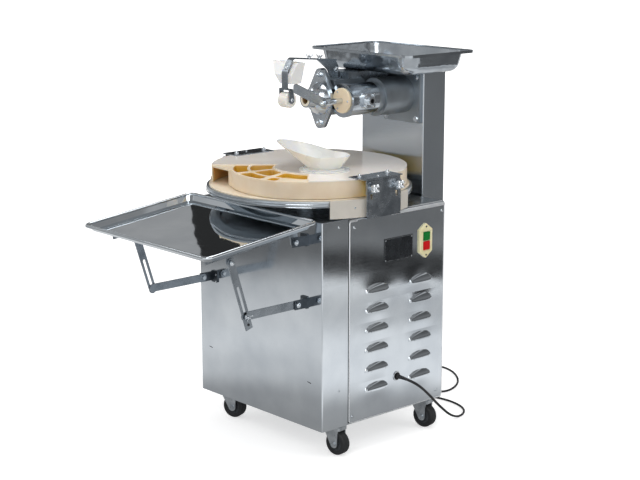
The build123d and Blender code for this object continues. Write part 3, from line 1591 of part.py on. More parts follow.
flour_front = arm_foot[0] + arm_thickness / 2
with BuildPart() as flour_hopper:
    with BuildSketch(Plane(origin=(0, cabinet_y, 0), x_dir=(1, 0, 0), z_dir=(0, -1, 0))):
        with BuildLine():
            Polyline(
                (flour_top_left, flour_top),
                (flour_top_right, flour_top),
                (flour_bottom_right, flour_bottom),
                (flour_bottom_left, flour_bottom),
                close=True,
            )
        make_face()
    extrude(amount=-flour_front)
    with BuildSketch(side_plane):
        with BuildLine():
            Polyline(
                (flour_front, flour_bottom),
                (flour_front, arm_knee[1] - 8),
                (flour_front + 24, flour_top),
                (flour_back, flour_top),
                (flour_back - 14, flour_bottom),
                close=True,
            )
        make_face()
    extrude(amount=flour_top_right - flour_top_left, both=True, mode=Mode.INTERSECT)
    offset(amount=-flour_wall, openings=flour_hopper.faces().sort_by(Axis.Z)[-1])
flour_hopper.part.label = "flour_hopper"
export_step(flour_hopper.part, "parts/flour_hopper.step")

with BuildPart() as dusting_roller:
    with BuildSketch(side_plane.offset(-roller_length / 2)):
        with Locations((roller_y, roller_z)):
            Circle(roller_radius)
    extrude(amount=roller_length)
    fillet(dusting_roller.edges(), 4)
    with BuildSketch(side_plane.offset(-roller_length / 2)):
        with Locations((roller_y, roller_z)):
            Circle(roller_axle + running_fit)
    extrude(amount=roller_length, mode=Mode.SUBTRACT)
dusting_roller.part.label = "dusting_roller"
export_step(dusting_roller.part, "parts/dusting_roller.step")
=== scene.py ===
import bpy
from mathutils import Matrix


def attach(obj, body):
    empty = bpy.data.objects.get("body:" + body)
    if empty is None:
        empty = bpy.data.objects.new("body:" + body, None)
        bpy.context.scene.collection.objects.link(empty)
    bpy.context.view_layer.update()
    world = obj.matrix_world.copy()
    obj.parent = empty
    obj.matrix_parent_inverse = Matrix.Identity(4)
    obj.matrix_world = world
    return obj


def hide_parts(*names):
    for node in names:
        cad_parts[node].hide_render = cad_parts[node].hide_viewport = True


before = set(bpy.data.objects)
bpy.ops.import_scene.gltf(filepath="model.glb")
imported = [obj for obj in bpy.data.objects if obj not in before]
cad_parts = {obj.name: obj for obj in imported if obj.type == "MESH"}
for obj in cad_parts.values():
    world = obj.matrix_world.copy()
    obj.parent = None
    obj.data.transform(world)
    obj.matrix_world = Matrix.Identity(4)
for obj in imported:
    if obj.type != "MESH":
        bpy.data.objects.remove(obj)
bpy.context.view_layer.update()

import math

import bmesh
import bpy
from mathutils import Vector

X, Y, Z = Vector((1, 0, 0)), Vector((0, 1, 0)), Vector((0, 0, 1))

# Places in the cabinet's own frame, in mm
CABINET_Y = 159.0519
PANEL_X = 296
SHELL_X = 294
FRONT_Y = -268
BACK_Y = 250
LOUVRE_Y = 50.5
LOUVRE_APART = 94.5
LOUVRE_Z = 187
LOUVRE_PITCH = 62.6
LOUVRE_ROWS = 6
GLAND_Y, GLAND_Z = 44, 210
PLATE_Y, PLATE_Z = 45.5, 619.5
SWITCH_Y, SWITCH_Z = 161, 627
TRAY_PIN, LINK_PIN = (-317, 680), (-309, 489)
STRUT_PIN, KNEE = (-558.96, 657.04), (-506, 489)
RING_Y = -57
RING_TOP = 859
KNOB_X, KNOB_Z = 345, 832
HEAD_Z = 1058
KNIFE_X = 88
SOCKET_X, SOCKET_Y = 147, 62
DUSTER_Y = -148


def at(x, y, z):
    """A point of the cabinet's own frame, in mm, as a point of the row frame in metres."""
    return Vector((x, y + CABINET_Y, z)) / 1000


def srgb(red, green, blue):
    """A colour as it is seen, 0 to 255, as linear values."""
    levels = []
    for level in (red, green, blue):
        c = level / 255
        levels.append(c / 12.92 if c <= 0.04045 else ((c + 0.055) / 1.055) ** 2.4)
    return (*levels, 1)


# Camera at the photograph's place
scene = bpy.context.scene
camera_data = bpy.data.cameras.new("camera")
camera_data.sensor_fit = "HORIZONTAL"
camera_data.sensor_width = 36
camera_data.lens = 85.2
camera_data.clip_end = 200
camera = bpy.data.objects.new("camera", camera_data)
camera.location = (3.503, -3.00895, 1.650)
camera.rotation_euler = (math.radians(90 - 12.5), 0, math.radians(47.98))
scene.collection.objects.link(camera)
scene.camera = camera
scene.view_settings.view_transform = "Standard"

# Where most of a noise's values lie
NOISE_LOW, NOISE_HIGH = 0.3, 0.7


# Shader nodes
def bare_material(name):
    """A material with an empty tree, its tree and its output."""
    mat = bpy.data.materials.new(name)
    mat.use_nodes = True
    mat.node_tree.nodes.clear()
    return mat, mat.node_tree, mat.node_tree.nodes.new("ShaderNodeOutputMaterial")


def shader_material(name):
    """A material with one Principled shader, and its tree."""
    mat, tree, out = bare_material(name)
    shader = tree.nodes.new("ShaderNodeBsdfPrincipled")
    tree.links.new(shader.outputs["BSDF"], out.inputs["Surface"])
    return mat, tree, shader


def feed(tree, socket, value):
    """Set a socket to a number or a colour, or link another socket to it."""
    if isinstance(value, bpy.types.NodeSocket):
        tree.links.new(value, socket)
    else:
        socket.default_value = value


def noise(tree, scale, detail, stretch=(1, 1, 1)):
    """Noise in the object's own coordinates, stretched along an axis for brushed metal."""
    coord = tree.nodes.new("ShaderNodeTexCoord")
    mapping = tree.nodes.new("ShaderNodeMapping")
    mapping.inputs["Scale"].default_value = stretch
    tree.links.new(coord.outputs["Object"], mapping.inputs["Vector"])
    node = tree.nodes.new("ShaderNodeTexNoise")
    node.inputs["Scale"].default_value = scale
    node.inputs["Detail"].default_value = detail
    tree.links.new(mapping.outputs["Vector"], node.inputs["Vector"])
    return node.outputs["Fac"]


def blend_colours(tree, factor, low, high):
    """Colour that goes from low to high with a noise."""
    ramp = tree.nodes.new("ShaderNodeValToRGB")
    ramp.color_ramp.elements[0].position = NOISE_LOW
    ramp.color_ramp.elements[0].color = low
    ramp.color_ramp.elements[1].position = NOISE_HIGH
    ramp.color_ramp.elements[1].color = high
    tree.links.new(factor, ramp.inputs["Fac"])
    return ramp.outputs["Color"]


def spread(tree, factor, low, high, start=NOISE_LOW, end=NOISE_HIGH):
    """Number that goes from low to high as the factor goes from start to end."""
    node = tree.nodes.new("ShaderNodeMapRange")
    node.inputs["From Min"].default_value = start
    node.inputs["From Max"].default_value = end
    node.inputs["To Min"].default_value = low
    node.inputs["To Max"].default_value = high
    tree.links.new(factor, node.inputs["Value"])
    return node.outputs["Result"]


def shaped(tree, value, reach, stops):
    """Level by a length: rows of (length in metres, level), smooth in between."""
    node = tree.nodes.new("ShaderNodeMapRange")
    node.inputs["From Max"].default_value = reach
    tree.links.new(value, node.inputs["Value"])
    ramp = tree.nodes.new("ShaderNodeValToRGB")
    ramp.color_ramp.interpolation = "EASE"
    elements = ramp.color_ramp.elements
    while len(elements) < len(stops):
        elements.new(0.5)
    for element, (length, level) in zip(elements, stops):
        element.position = length / reach
        element.color = (level, level, level, 1)
    tree.links.new(node.outputs["Result"], ramp.inputs["Fac"])
    return ramp.outputs["Color"]


def mixed(tree, share, first, second):
    """Colour that goes from the first to the second with the share, each a colour or a socket."""
    node = tree.nodes.new("ShaderNodeMix")
    node.data_type = "RGBA"
    feed(tree, node.inputs["Factor"], share)
    feed(tree, node.inputs["A"], first)
    feed(tree, node.inputs["B"], second)
    return node.outputs["Result"]


def bump(tree, height, strength, distance, under=None):
    """Normal from a height, over another normal."""
    node = tree.nodes.new("ShaderNodeBump")
    node.inputs["Strength"].default_value = strength
    node.inputs["Distance"].default_value = distance
    tree.links.new(height, node.inputs["Height"])
    if under is not None:
        tree.links.new(under, node.inputs["Normal"])
    return node.outputs["Normal"]


def calc(tree, operation, first, second=0.0):
    """One Math node on two values, each a number or a socket."""
    node = tree.nodes.new("ShaderNodeMath")
    node.operation = operation
    feed(tree, node.inputs[0], first)
    feed(tree, node.inputs[1], second)
    return node.outputs[0]


def places(tree, kind="Object"):
    """The three coordinates of a point."""
    coord = tree.nodes.new("ShaderNodeTexCoord")
    parts = tree.nodes.new("ShaderNodeSeparateXYZ")
    tree.links.new(coord.outputs[kind], parts.inputs[0])
    return parts.outputs["X"], parts.outputs["Y"], parts.outputs["Z"]


def squares(tree, first, second):
    """Sum of two squares."""
    return calc(tree, "ADD", calc(tree, "MULTIPLY", first, first), calc(tree, "MULTIPLY", second, second))


# Materials
def louvre_dents(tree):
    """Height of the panel round its louvres: the sheet is drawn out a little where each one is pressed."""
    half_length, half_height = 0.052, 0.03
    pitch = LOUVRE_PITCH / 1000
    _, y, z = places(tree)
    side = calc(tree, "ABSOLUTE", calc(tree, "SUBTRACT", y, (CABINET_Y + LOUVRE_Y) / 1000))
    side = calc(tree, "DIVIDE", calc(tree, "SUBTRACT", side, LOUVRE_APART / 1000), half_length)
    row = calc(tree, "DIVIDE", calc(tree, "SUBTRACT", z, LOUVRE_Z / 1000), pitch)
    near = calc(tree, "MAXIMUM", calc(tree, "MINIMUM", calc(tree, "ROUND", row), LOUVRE_ROWS - 1), 0.0)
    rise = calc(tree, "MULTIPLY", calc(tree, "SUBTRACT", row, near), pitch / half_height)
    return calc(tree, "EXPONENT", calc(tree, "MULTIPLY", squares(tree, side, rise), -1.0))


def ring_pockets(tree):
    """1 in the pockets of the ring, inside its spiral wall and below the tops of the ribs, and 0 elsewhere:
    where the painted yellow shade goes.
    """
    spiral_start, spiral_per_radian, outer_radius, rib_tops = 0.3635, 0.0572958, 0.3025, 0.8515
    x, y, z = places(tree)
    y = calc(tree, "SUBTRACT", y, (CABINET_Y + RING_Y) / 1000)
    radius = calc(tree, "SQRT", squares(tree, x, y))
    turn = calc(tree, "ARCTAN2", y, x)
    wall = calc(tree, "ADD", calc(tree, "MULTIPLY", turn, spiral_per_radian), spiral_start)
    inside = calc(tree, "LESS_THAN", radius, calc(tree, "MINIMUM", wall, outer_radius))
    return calc(tree, "MULTIPLY", inside, calc(tree, "LESS_THAN", z, rib_tops))


def metal(name, dark, light, rough, cloud, grain=(6, 6, 700), grain_depth=0.00002, wave=0.0, wave_scale=3.0,
          dents=0.0, matte=None):
    """Steel: cloudy colour, brushed grain, the waviness of sheet and the dents of its louvres.

    Behind the given depth, in metres along Y, its colour is darker as painted shade, and it is rougher."""
    mat, tree, shader = shader_material(name)
    shader.inputs["Metallic"].default_value = 1.0
    clouds = noise(tree, cloud, 4.0)
    lines = noise(tree, 1.0, 2.0, grain)
    colour = blend_colours(tree, clouds, dark, light)
    dullness = spread(tree, calc(tree, "MULTIPLY", calc(tree, "ADD", lines, clouds), 0.5), *rough)
    # Painted shade: a darker colour behind the given depth
    if matte is not None:
        behind = calc(tree, "GREATER_THAN", places(tree)[1], matte)
        dullness = calc(tree, "ADD", dullness, calc(tree, "MULTIPLY", behind, 0.28))
        painted_shade_colour = blend_colours(tree, clouds, srgb(150, 157, 163), srgb(166, 173, 179))
        colour = mixed(tree, behind, colour, painted_shade_colour)
    tree.links.new(colour, shader.inputs["Base Color"])
    tree.links.new(dullness, shader.inputs["Roughness"])
    normal = bump(tree, lines, 0.35, grain_depth)
    if wave:
        normal = bump(tree, noise(tree, wave_scale, 1.0), 1.0, wave, normal)
    if dents:
        normal = bump(tree, louvre_dents(tree), 1.0, dents, normal)
    tree.links.new(normal, shader.inputs["Normal"])
    return mat


def plastic(name, dark, light, rough, grain=260.0, depth=0.00006, spots=14.0, soft=0.0, depth_in=0.006,
            painted_hollow_shade=None, painted_pocket_shade=None, dull=0.0):
    """Moulded or machined plastic: faint mottling, fine grain, light inside, and where asked painted shade in
    its hollows and painted yellow shade in the ring's pockets.
    """
    mat, tree, shader = shader_material(name)
    mottle = noise(tree, spots, 5.0)
    colour = blend_colours(tree, mottle, dark, light)
    # Painted shade: a given colour mixed in where the surface is hollow, by ambient occlusion
    if painted_hollow_shade is not None:
        hollow = tree.nodes.new("ShaderNodeAmbientOcclusion")
        hollow.inputs["Distance"].default_value = 0.06
        hollow.samples = 8
        colour = mixed(tree, spread(tree, hollow.outputs["AO"], 1.0, 0.0, 0.2, 0.62), colour, painted_hollow_shade)
        if painted_pocket_shade is not None:
            # Painted yellow shade in the ring's pockets, fuller where they are more enclosed
            open_share = spread(tree, hollow.outputs["AO"], 1.0, 0.6, 0.3, 0.9)
            colour = mixed(tree, calc(tree, "MULTIPLY", ring_pockets(tree), open_share), colour, painted_pocket_shade)
    tree.links.new(colour, shader.inputs["Base Color"])
    tree.links.new(spread(tree, mottle, *rough), shader.inputs["Roughness"])
    tree.links.new(bump(tree, noise(tree, grain, 3.0), 0.3, depth), shader.inputs["Normal"])
    if soft:
        shader.inputs["Subsurface Weight"].default_value = soft
        shader.inputs["Subsurface Radius"].default_value = (1.0, 0.8, 0.55)
        shader.inputs["Subsurface Scale"].default_value = depth_in
    if dull:
        shader.inputs["Specular IOR Level"].default_value = dull
    return mat


sheet_steel = metal("sheet_steel", srgb(204, 211, 218), srgb(230, 236, 241), (0.08, 0.13), 5.0,
                    wave=0.0009, wave_scale=3.5)
panel_steel = metal("panel_steel", srgb(204, 211, 218), srgb(230, 236, 241), (0.08, 0.13), 5.0,
                    wave=0.0009, wave_scale=3.5, dents=0.0012)
column_steel = metal("column_steel", srgb(188, 195, 202), srgb(202, 209, 215), (0.2, 0.28), 3.0, wave=0.0008)
pan_steel = metal("pan_steel", srgb(164, 171, 178), srgb(190, 197, 203), (0.12, 0.22), 9.0,
                  wave=0.002, wave_scale=24.0)
barrel_steel = metal("barrel_steel", srgb(116, 123, 129), srgb(134, 141, 147), (0.4, 0.5), 12.0, (8, 700, 8))
knob_steel = metal("knob_steel", srgb(226, 231, 235), srgb(242, 245, 248), (0.08, 0.14), 40.0,
                   (90, 90, 90), 0.00003)
top_steel = metal("top_steel", srgb(184, 192, 199), srgb(206, 213, 220), (0.22, 0.34), 6.0, (700, 8, 8))
strap_steel = metal("strap_steel", srgb(128, 136, 143), srgb(162, 169, 176), (0.2, 0.38), 22.0,
                    (90, 90, 90), 0.00006)
bracket_steel = metal("bracket_steel", srgb(138, 146, 154), srgb(178, 185, 192), (0.16, 0.34), 26.0,
                      (60, 60, 60), 0.00005, 0.0006, 12.0)
mirror_steel = metal("mirror_steel", srgb(206, 213, 219), srgb(222, 228, 233), (0.02, 0.05), 9.0,
                     wave=0.0012, wave_scale=6.0)
disc_steel = metal("disc_steel", srgb(168, 175, 181), srgb(188, 195, 201), (0.3, 0.42), 10.0, (40, 40, 400))
cast_metal = metal("cast_metal", srgb(184, 191, 198), srgb(206, 213, 219), (0.12, 0.24), 20.0,
                   (140, 140, 140), 0.00003, 0.0003, 16.0)
# Painted shade on the back of the cutter housing, towards the column
housing_metal = metal("housing_metal", srgb(176, 183, 190), srgb(200, 207, 213), (0.12, 0.22), 20.0,
                      (140, 140, 140), 0.00003, 0.0003, 16.0, matte=(CABINET_Y + 118) / 1000)
bright_steel = metal("bright_steel", srgb(205, 211, 217), srgb(226, 231, 235), (0.1, 0.22), 40.0,
                     (120, 120, 120), 0.00003)
# Paler than the sheet as a painted highlight on the rolled edges; its roughness catches the lamps
painted_highlight_steel = metal("painted_highlight_steel", srgb(240, 244, 248), srgb(250, 252, 254), (0.5, 0.6), 30.0,
                   (90, 90, 90), 0.00003)
knife_steel = metal("knife_steel", srgb(170, 178, 185), srgb(198, 205, 212), (0.18, 0.3), 20.0,
                    (30, 30, 420), 0.00003)
zinc_steel = metal("zinc_steel", srgb(178, 185, 191), srgb(216, 222, 227), (0.22, 0.42), 48.0,
                   (70, 70, 70), 0.00006)
arm_paint = metal("arm_paint", srgb(72, 78, 84), srgb(100, 106, 113), (0.3, 0.46), 30.0,
                  (60, 60, 60), 0.00008)
drive_paint = plastic("drive_paint", srgb(58, 63, 68), srgb(78, 84, 90), (0.45, 0.6), 180.0, 0.0002)
# Painted shade: yellower in the hollows and deep yellow in the pockets
ring_nylon = plastic("ring_nylon", srgb(226, 206, 178), srgb(238, 222, 198), (0.34, 0.46),
                     soft=0.5, depth_in=0.012, painted_hollow_shade=srgb(250, 212, 132), painted_pocket_shade=srgb(212, 168, 16))
liner_nylon = plastic("liner_nylon", srgb(222, 206, 182), srgb(236, 222, 200), (0.36, 0.5), soft=0.2)
guard_nylon = plastic("guard_nylon", srgb(196, 191, 182), srgb(210, 205, 196), (0.36, 0.5), soft=0.2)
cover_nylon = plastic("cover_nylon", srgb(240, 231, 222), srgb(248, 241, 234), (0.1, 0.2),
                      120.0, 0.00003, 6.0, soft=0.2)
scoop_plastic = plastic("scoop_plastic", srgb(226, 227, 225), srgb(237, 238, 236), (0.22, 0.34),
                        160.0, 0.00005, 9.0, soft=0.6)
white_plastic = plastic("white_plastic", srgb(232, 231, 230), srgb(243, 242, 240), (0.28, 0.42), soft=0.35)
roller_nylon = plastic("roller_nylon", srgb(236, 232, 224), srgb(247, 244, 238), (0.34, 0.48),
                       320.0, 0.0001, soft=0.35)
# Painted shade: brown in the hollows of the nozzle's mouth
mouth_nylon = plastic("mouth_nylon", srgb(238, 226, 204), srgb(247, 238, 220), (0.3, 0.42),
                      soft=0.3, painted_hollow_shade=srgb(150, 112, 58))
peach_nylon = plastic("peach_nylon", srgb(244, 221, 188), srgb(250, 232, 204), (0.36, 0.5), soft=0.25)
bezel_plastic = plastic("bezel_plastic", srgb(232, 222, 176), srgb(242, 234, 194), (0.22, 0.34), soft=0.15)
green_plastic = plastic("green_plastic", srgb(2, 108, 40), srgb(6, 124, 48), (0.3, 0.42), soft=0.05, dull=0.2)
red_plastic = plastic("red_plastic", srgb(196, 4, 10), srgb(212, 10, 16), (0.3, 0.42), soft=0.05, dull=0.2)
black_plate = plastic("black_plate", srgb(14, 19, 24), srgb(24, 30, 36), (0.2, 0.34), 300.0, 0.00004, 30.0)
black_plastic = plastic("black_plastic", srgb(22, 24, 26), srgb(34, 36, 39), (0.36, 0.52), 300.0, 0.0001)
cord_rubber = plastic("cord_rubber", srgb(20, 21, 23), srgb(33, 34, 37), (0.4, 0.56), 500.0, 0.00008, 40.0)
tyre_rubber = plastic("tyre_rubber", srgb(26, 28, 30), srgb(44, 46, 49), (0.5, 0.7), 240.0, 0.0002, 30.0)
hub_plastic = plastic("hub_plastic", srgb(44, 48, 52), srgb(62, 66, 70), (0.34, 0.5), 200.0, 0.0001)

PAINT = {
    sheet_steel: ["front_shell", "left_panel", "back_panel", "base_plate"],
    column_steel: ["column"],
    pan_steel: ["hopper_pan"],
    barrel_steel: ["auger_barrel"],
    panel_steel: ["right_panel"],
    top_steel: ["top_plate"],
    strap_steel: ["feed_throat", "arm_bracket", "roller_arm", "tray_rails", "tray_struts", "tray_links"],
    bracket_steel: ["ring_brackets", "ring_hangers"],
    mirror_steel: ["tray_pan"],
    disc_steel: ["turntable_disc"],
    cast_metal: ["nozzle_head", "bearing_housing"],
    housing_metal: ["cutter_housing"],
    bright_steel: ["cutter_shaft", "turntable_shaft", "hinge_pins", "flange_socket"],
    knob_steel: ["ring_knobs"],
    knife_steel: ["cutter_knife"],
    zinc_steel: ["caster_plates", "caster_fork_fl", "caster_fork_fr", "caster_fork_bl", "caster_fork_br"],
    arm_paint: ["hinge_clips"],
    drive_paint: ["inner_frame", "turntable_gearmotor", "feed_gearmotor"],
    ring_nylon: ["rounding_ring"],
    liner_nylon: ["turntable_liner"],
    guard_nylon: ["disc_guards"],
    cover_nylon: ["ring_cover"],
    scoop_plastic: ["feed_scoop"],
    white_plastic: ["flour_hopper", "auger"],
    roller_nylon: ["dusting_roller"],
    mouth_nylon: ["nozzle_liner"],
    peach_nylon: ["housing_cap"],
    bezel_plastic: ["switch_bezel"],
    green_plastic: ["start_button"],
    red_plastic: ["stop_button"],
    black_plate: ["rating_plate"],
    black_plastic: ["switch_block", "cord_gland", "power_plug"],
    cord_rubber: ["power_cord", "cord_coil"],
    tyre_rubber: ["caster_wheel_fl", "caster_wheel_fr", "caster_wheel_bl", "caster_wheel_br"],
}
for mat, names in PAINT.items():
    for name in names:
        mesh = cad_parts[name].data
        mesh.materials.clear()
        mesh.materials.append(mat)

# Steps round a screw or nut: four to each side of a hexagon
HEAD_STEPS = 24


# Mesh forms
def across(axis):
    """Two directions square to an axis, the second as near up as it can be."""
    w = axis.normalized()
    v = (Z - w * w.dot(Z)) if abs(w.z) < 0.9 else (Y - w * w.dot(Y))
    v.normalize()
    return v.cross(w), v, w


def circle(bm, centre, u, v, radius, steps):
    """Row of points round a centre, the radius in mm."""
    turns = [2 * math.pi * k / steps for k in range(steps)]
    return [bm.verts.new(centre + (u * math.cos(a) + v * math.sin(a)) * radius / 1000) for a in turns]


def skin(bm, rows, ring=True, loop=False):
    """Faces between rows of points: ring closes each row, loop joins the last row to the first."""
    count = len(rows[0])
    for low, high in zip(rows, rows[1:] + rows[:1] if loop else rows[1:]):
        for k in range(count if ring else count - 1):
            j = (k + 1) % count
            bm.faces.new([low[k], low[j], high[j], high[k]])


def turned(bm, centre, axis, profile, steps):
    """Turned form about an axis: rows of (radius in mm or one radius per step, height in mm)."""
    u, v, w = across(axis)
    rows = []
    for radius, height in profile:
        base = centre + w * height / 1000
        radii = radius if isinstance(radius, list) else [radius] * steps
        if max(radii) == 0:
            rows.append([bm.verts.new(base)])
            continue
        row = []
        for i, r in enumerate(radii):
            a = 2 * math.pi * i / steps
            row.append(bm.verts.new(base + (u * math.cos(a) + v * math.sin(a)) * r / 1000))
        rows.append(row)
    for low, high in zip(rows, rows[1:]):
        for i in range(steps):
            j = (i + 1) % steps
            corners = [low[i % len(low)], low[j % len(low)], high[j % len(high)], high[i % len(high)]]
            corners = list(dict.fromkeys(corners))
            if len(corners) > 2:
                bm.faces.new(corners)


def slab(bm, origin, u, v, outline, depth):
    """Flat form: an outline in mm along two directions, thickened along the third."""
    w = u.cross(v)
    low = [bm.verts.new(origin + (u * a + v * b) / 1000) for a, b in outline]
    high = [bm.verts.new(origin + (u * a + v * b + w * depth) / 1000) for a, b in outline]
    bm.faces.new(low[::-1])
    bm.faces.new(high)
    skin(bm, [low, high])


def border(bm, centre, inner, outer, depth):
    """Four bars on the right side, between two rectangles given by their half sizes in mm."""
    (a, b), (c, d) = inner, outer
    for y0, z0, y1, z1 in ((-c, -d, c, -b), (-c, b, c, d), (-c, -b, -a, b), (a, -b, c, b)):
        slab(bm, centre, Y, Z, [(y0, z0), (y1, z0), (y1, z1), (y0, z1)], depth)


def six_sided(radius):
    """Radii of a hexagon, its flats in between."""
    radii = []
    for i in range(HEAD_STEPS):
        a = math.radians((360 * i / HEAD_STEPS) % 60 - 30)
        radii.append(radius * math.cos(math.radians(30)) / math.cos(a))
    return radii


def crossed(radius):
    """Radii of a cross recess."""
    pattern = [1.0, 0.36, 0.3, 0.3, 0.3, 0.36]
    return [radius * pattern[i % 6] for i in range(HEAD_STEPS)]


def pan_screw(bm, centre, axis, r):
    """Round head with a cross recess."""
    turned(bm, centre, axis, [
        (0, -0.2 * r), (r, -0.2 * r), (r, 0.15 * r), (0.93 * r, 0.36 * r), (0.76 * r, 0.52 * r),
        (0.6 * r, 0.58 * r), (crossed(0.52 * r), 0.59 * r), (crossed(0.42 * r), 0.28 * r), (0, 0.22 * r)],
        HEAD_STEPS)


def hex_bolt(bm, centre, axis, r, height, washer):
    """Chamfered hexagon head on a washer."""
    turned(bm, centre, axis, [
        (0, -0.3), (washer * r, -0.3), (washer * r, 1.1), (1.02 * r, 1.2), (six_sided(r), 1.2),
        (six_sided(r), height * 0.84), (0.84 * r, height), (0.3 * r, height), (0, height - 0.2)], HEAD_STEPS)


def dome_nut(bm, centre, axis, r, height):
    """Cap nut: hexagon with a dome."""
    dome = []
    for a in (0, 18, 36, 54, 72):
        a = math.radians(a)
        dome.append((0.82 * r * math.cos(a), height * 0.45 + height * 0.55 * math.sin(a)))
    turned(bm, centre, axis, [
        (0, -0.3), (1.3 * r, -0.3), (1.3 * r, 0.9), (1.02 * r, 1.0), (six_sided(r), 1.0),
        (six_sided(r), height * 0.4), (0.86 * r, height * 0.45), *dome, (0, height)], HEAD_STEPS)


def socket_screw(bm, centre, axis, r, height):
    """Round head with a hexagon socket."""
    turned(bm, centre, axis, [
        (0, -0.2), (r, -0.2), (r, height * 0.88), (0.9 * r, height), (0.62 * r, height),
        (six_sided(0.56 * r), height), (six_sided(0.54 * r), height * 0.4), (0, height * 0.35)], HEAD_STEPS)


def wing_nut(bm, centre, axis, r, spin):
    """Hub with two wings, on a washer and a stud."""
    u, v, w = across(axis)
    along = u * math.cos(spin) + v * math.sin(spin)
    side = w.cross(along)
    turned(bm, centre, axis, [
        (0, -0.3), (1.5 * r, -0.3), (1.5 * r, 0.9), (1.12 * r, 1.0), (r, 1.6), (0.74 * r, 1.5 * r),
        (0.62 * r, 1.62 * r), (0.5 * r, 1.62 * r), (0.5 * r, 2.1 * r), (0.36 * r, 2.25 * r), (0, 2.25 * r)], 20)
    wing = [(0.62, 0.35), (1.15, 0.5), (1.7, 0.95), (2.15, 1.6), (2.32, 2.1), (2.2, 2.42), (1.9, 2.5),
            (1.6, 2.3), (1.3, 1.75), (0.95, 1.3), (0.6, 1.15)]
    for sign in (1, -1):
        outline = [(sign * a * r, b * r) for a, b in wing]
        slab(bm, centre - side * 0.22 * r / 1000, along, w, outline if sign > 0 else outline[::-1], -0.44 * r)


def piece(name, bm, body, mat, bevel=0.0, angle=35):
    """The form as an object of the scene, riding on a body."""
    bmesh.ops.recalc_face_normals(bm, faces=bm.faces)
    mesh = bpy.data.meshes.new(name)
    bm.to_mesh(mesh)
    bm.free()
    for face in mesh.polygons:
        face.use_smooth = True
    mesh.set_sharp_from_angle(angle=math.radians(angle))
    mesh.materials.append(mat)
    obj = bpy.data.objects.new(name, mesh)
    scene.collection.objects.link(obj)
    if bevel:
        mod = obj.modifiers.new("bevel", "BEVEL")
        mod.width = bevel / 1000
        mod.segments = 2
        mod.limit_method = "ANGLE"
        mod.angle_limit = math.radians(40)
    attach(obj, body)
    return obj


# Power cord: the fall to the floor, the stretch on it, the coil and the tail on one spline
FALL = [
    (298, 44, 210), (322, 44, 210), (340, 52, 205), (352, 66, 196), (355, 87, 181), (348, 116, 160),
    (333, 159, 128), (316, 204, 92), (304, 250, 56), (294, 294, 24), (288, 336, 5),
]
LYING_Z = 3.6
LYING = [
    (278, 376), (250, 412), (206, 434), (156, 442), (110, 438), (72, 424), (42, 400), (20, 372), (-12, 352),
    (-50, 352), (-76, 380), (-72, 420), (-40, 446), (2, 456), (48, 470), (78, 508), (64, 566), (28, 622),
    (-24, 668), (-84, 700), (-140, 706), (-188, 692), (-220, 656), (-226, 612),
]
RISE = [(-218.5, 582, 3.73), (-218.5, 560, 4.4)]
TAIL = [(-141.5, 560, 15.5), (-141.5, 584, 15.5), (-141.5, 608, 15.5)]
COIL_X, COIL_Y, COIL_Z = -180, 560, 4.4
COIL_RADIUS = 39.2
TURN_RISE = 7.4
TURN_STEPS = 16
cord_points = FALL + [(x, y, LYING_Z) for x, y in LYING] + RISE
for i in range(1, 24):
    a = math.radians(180 + 360 / TURN_STEPS * i)
    cord_points.append((COIL_X + COIL_RADIUS * math.cos(a), COIL_Y + COIL_RADIUS * math.sin(a),
                        COIL_Z + TURN_RISE * i / TURN_STEPS))
cord_points += TAIL
cord_curve = bpy.data.curves.new("cord", "CURVE")
cord_curve.dimensions = "3D"
cord_curve.resolution_u = 8
spline = cord_curve.splines.new("NURBS")
spline.points.add(len(cord_points) - 1)
for i, (point, place) in enumerate(zip(spline.points, cord_points)):
    point.co = (*at(*place), 1)
    point.radius = 1.2 if i < 9 else 1.1 if i == 9 else 1.0
spline.order_u = 3
spline.use_endpoint_u = True
cord = bpy.data.objects.new("cord", cord_curve)
scene.collection.objects.link(cord)
bpy.context.view_layer.update()
line = bpy.data.meshes.new_from_object(cord)
cord_line = [v.co.copy() for v in line.vertices]
bpy.data.meshes.remove(line)
cord_curve.bevel_depth = 0.0035
cord_curve.bevel_resolution = 4
cord_curve.use_fill_caps = True
cord_curve.materials.append(cord_rubber)

# Strain relief along the first stretch of the cord, tapered and ribbed
RELIEF_START, RELIEF_LENGTH = 0.008, 0.036
bm = bmesh.new()
rings = []
run = 0.0
for a, b in zip(cord_line, cord_line[1:]):
    share = (run - RELIEF_START) / RELIEF_LENGTH
    if 0 <= share <= 1:
        radius = 6.6 - 2.3 * share - (0.5 if len(rings) % 3 == 2 else 0)
        u, v, w = across(b - a)
        rings.append(circle(bm, a, u, v, radius, 16))
    run += (b - a).length
skin(bm, rings)
bm.faces.new(rings[0][::-1])
bm.faces.new(rings[-1])
piece("strain_relief", bm, "machine", black_plastic).visible_glossy = False

# Tie round the coil
bm = bmesh.new()
tie_angle = math.radians(250)
out = Vector((math.cos(tie_angle), math.sin(tie_angle), 0))
along = Vector((-out.y, out.x, 0))
tie_centre = at(COIL_X + 38.5 * out.x, COIL_Y + 38.5 * out.y, COIL_Z + TURN_RISE * 70 / 360 + 3.7)
outline = []
for k in range(24):
    c, s = math.cos(2 * math.pi * k / 24), math.sin(2 * math.pi * k / 24)
    outline.append((3.9 * math.copysign(abs(c) ** 0.6, c), 7.7 * math.copysign(abs(s) ** 0.6, s)))
rows = []
for depth, wider, higher in ((-4, 1, 1), (-3.4, 1.22, 1.11), (3.4, 1.22, 1.11), (4, 1, 1)):
    rows.append([bm.verts.new(tie_centre + (out * a * wider + Z * b * higher + along * depth) / 1000)
                 for a, b in outline])
skin(bm, rows, loop=True)
tie = piece("cord_tie", bm, "machine", black_plastic)

cord.visible_glossy = False
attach(cord, "machine")
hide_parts("power_cord", "cord_coil")
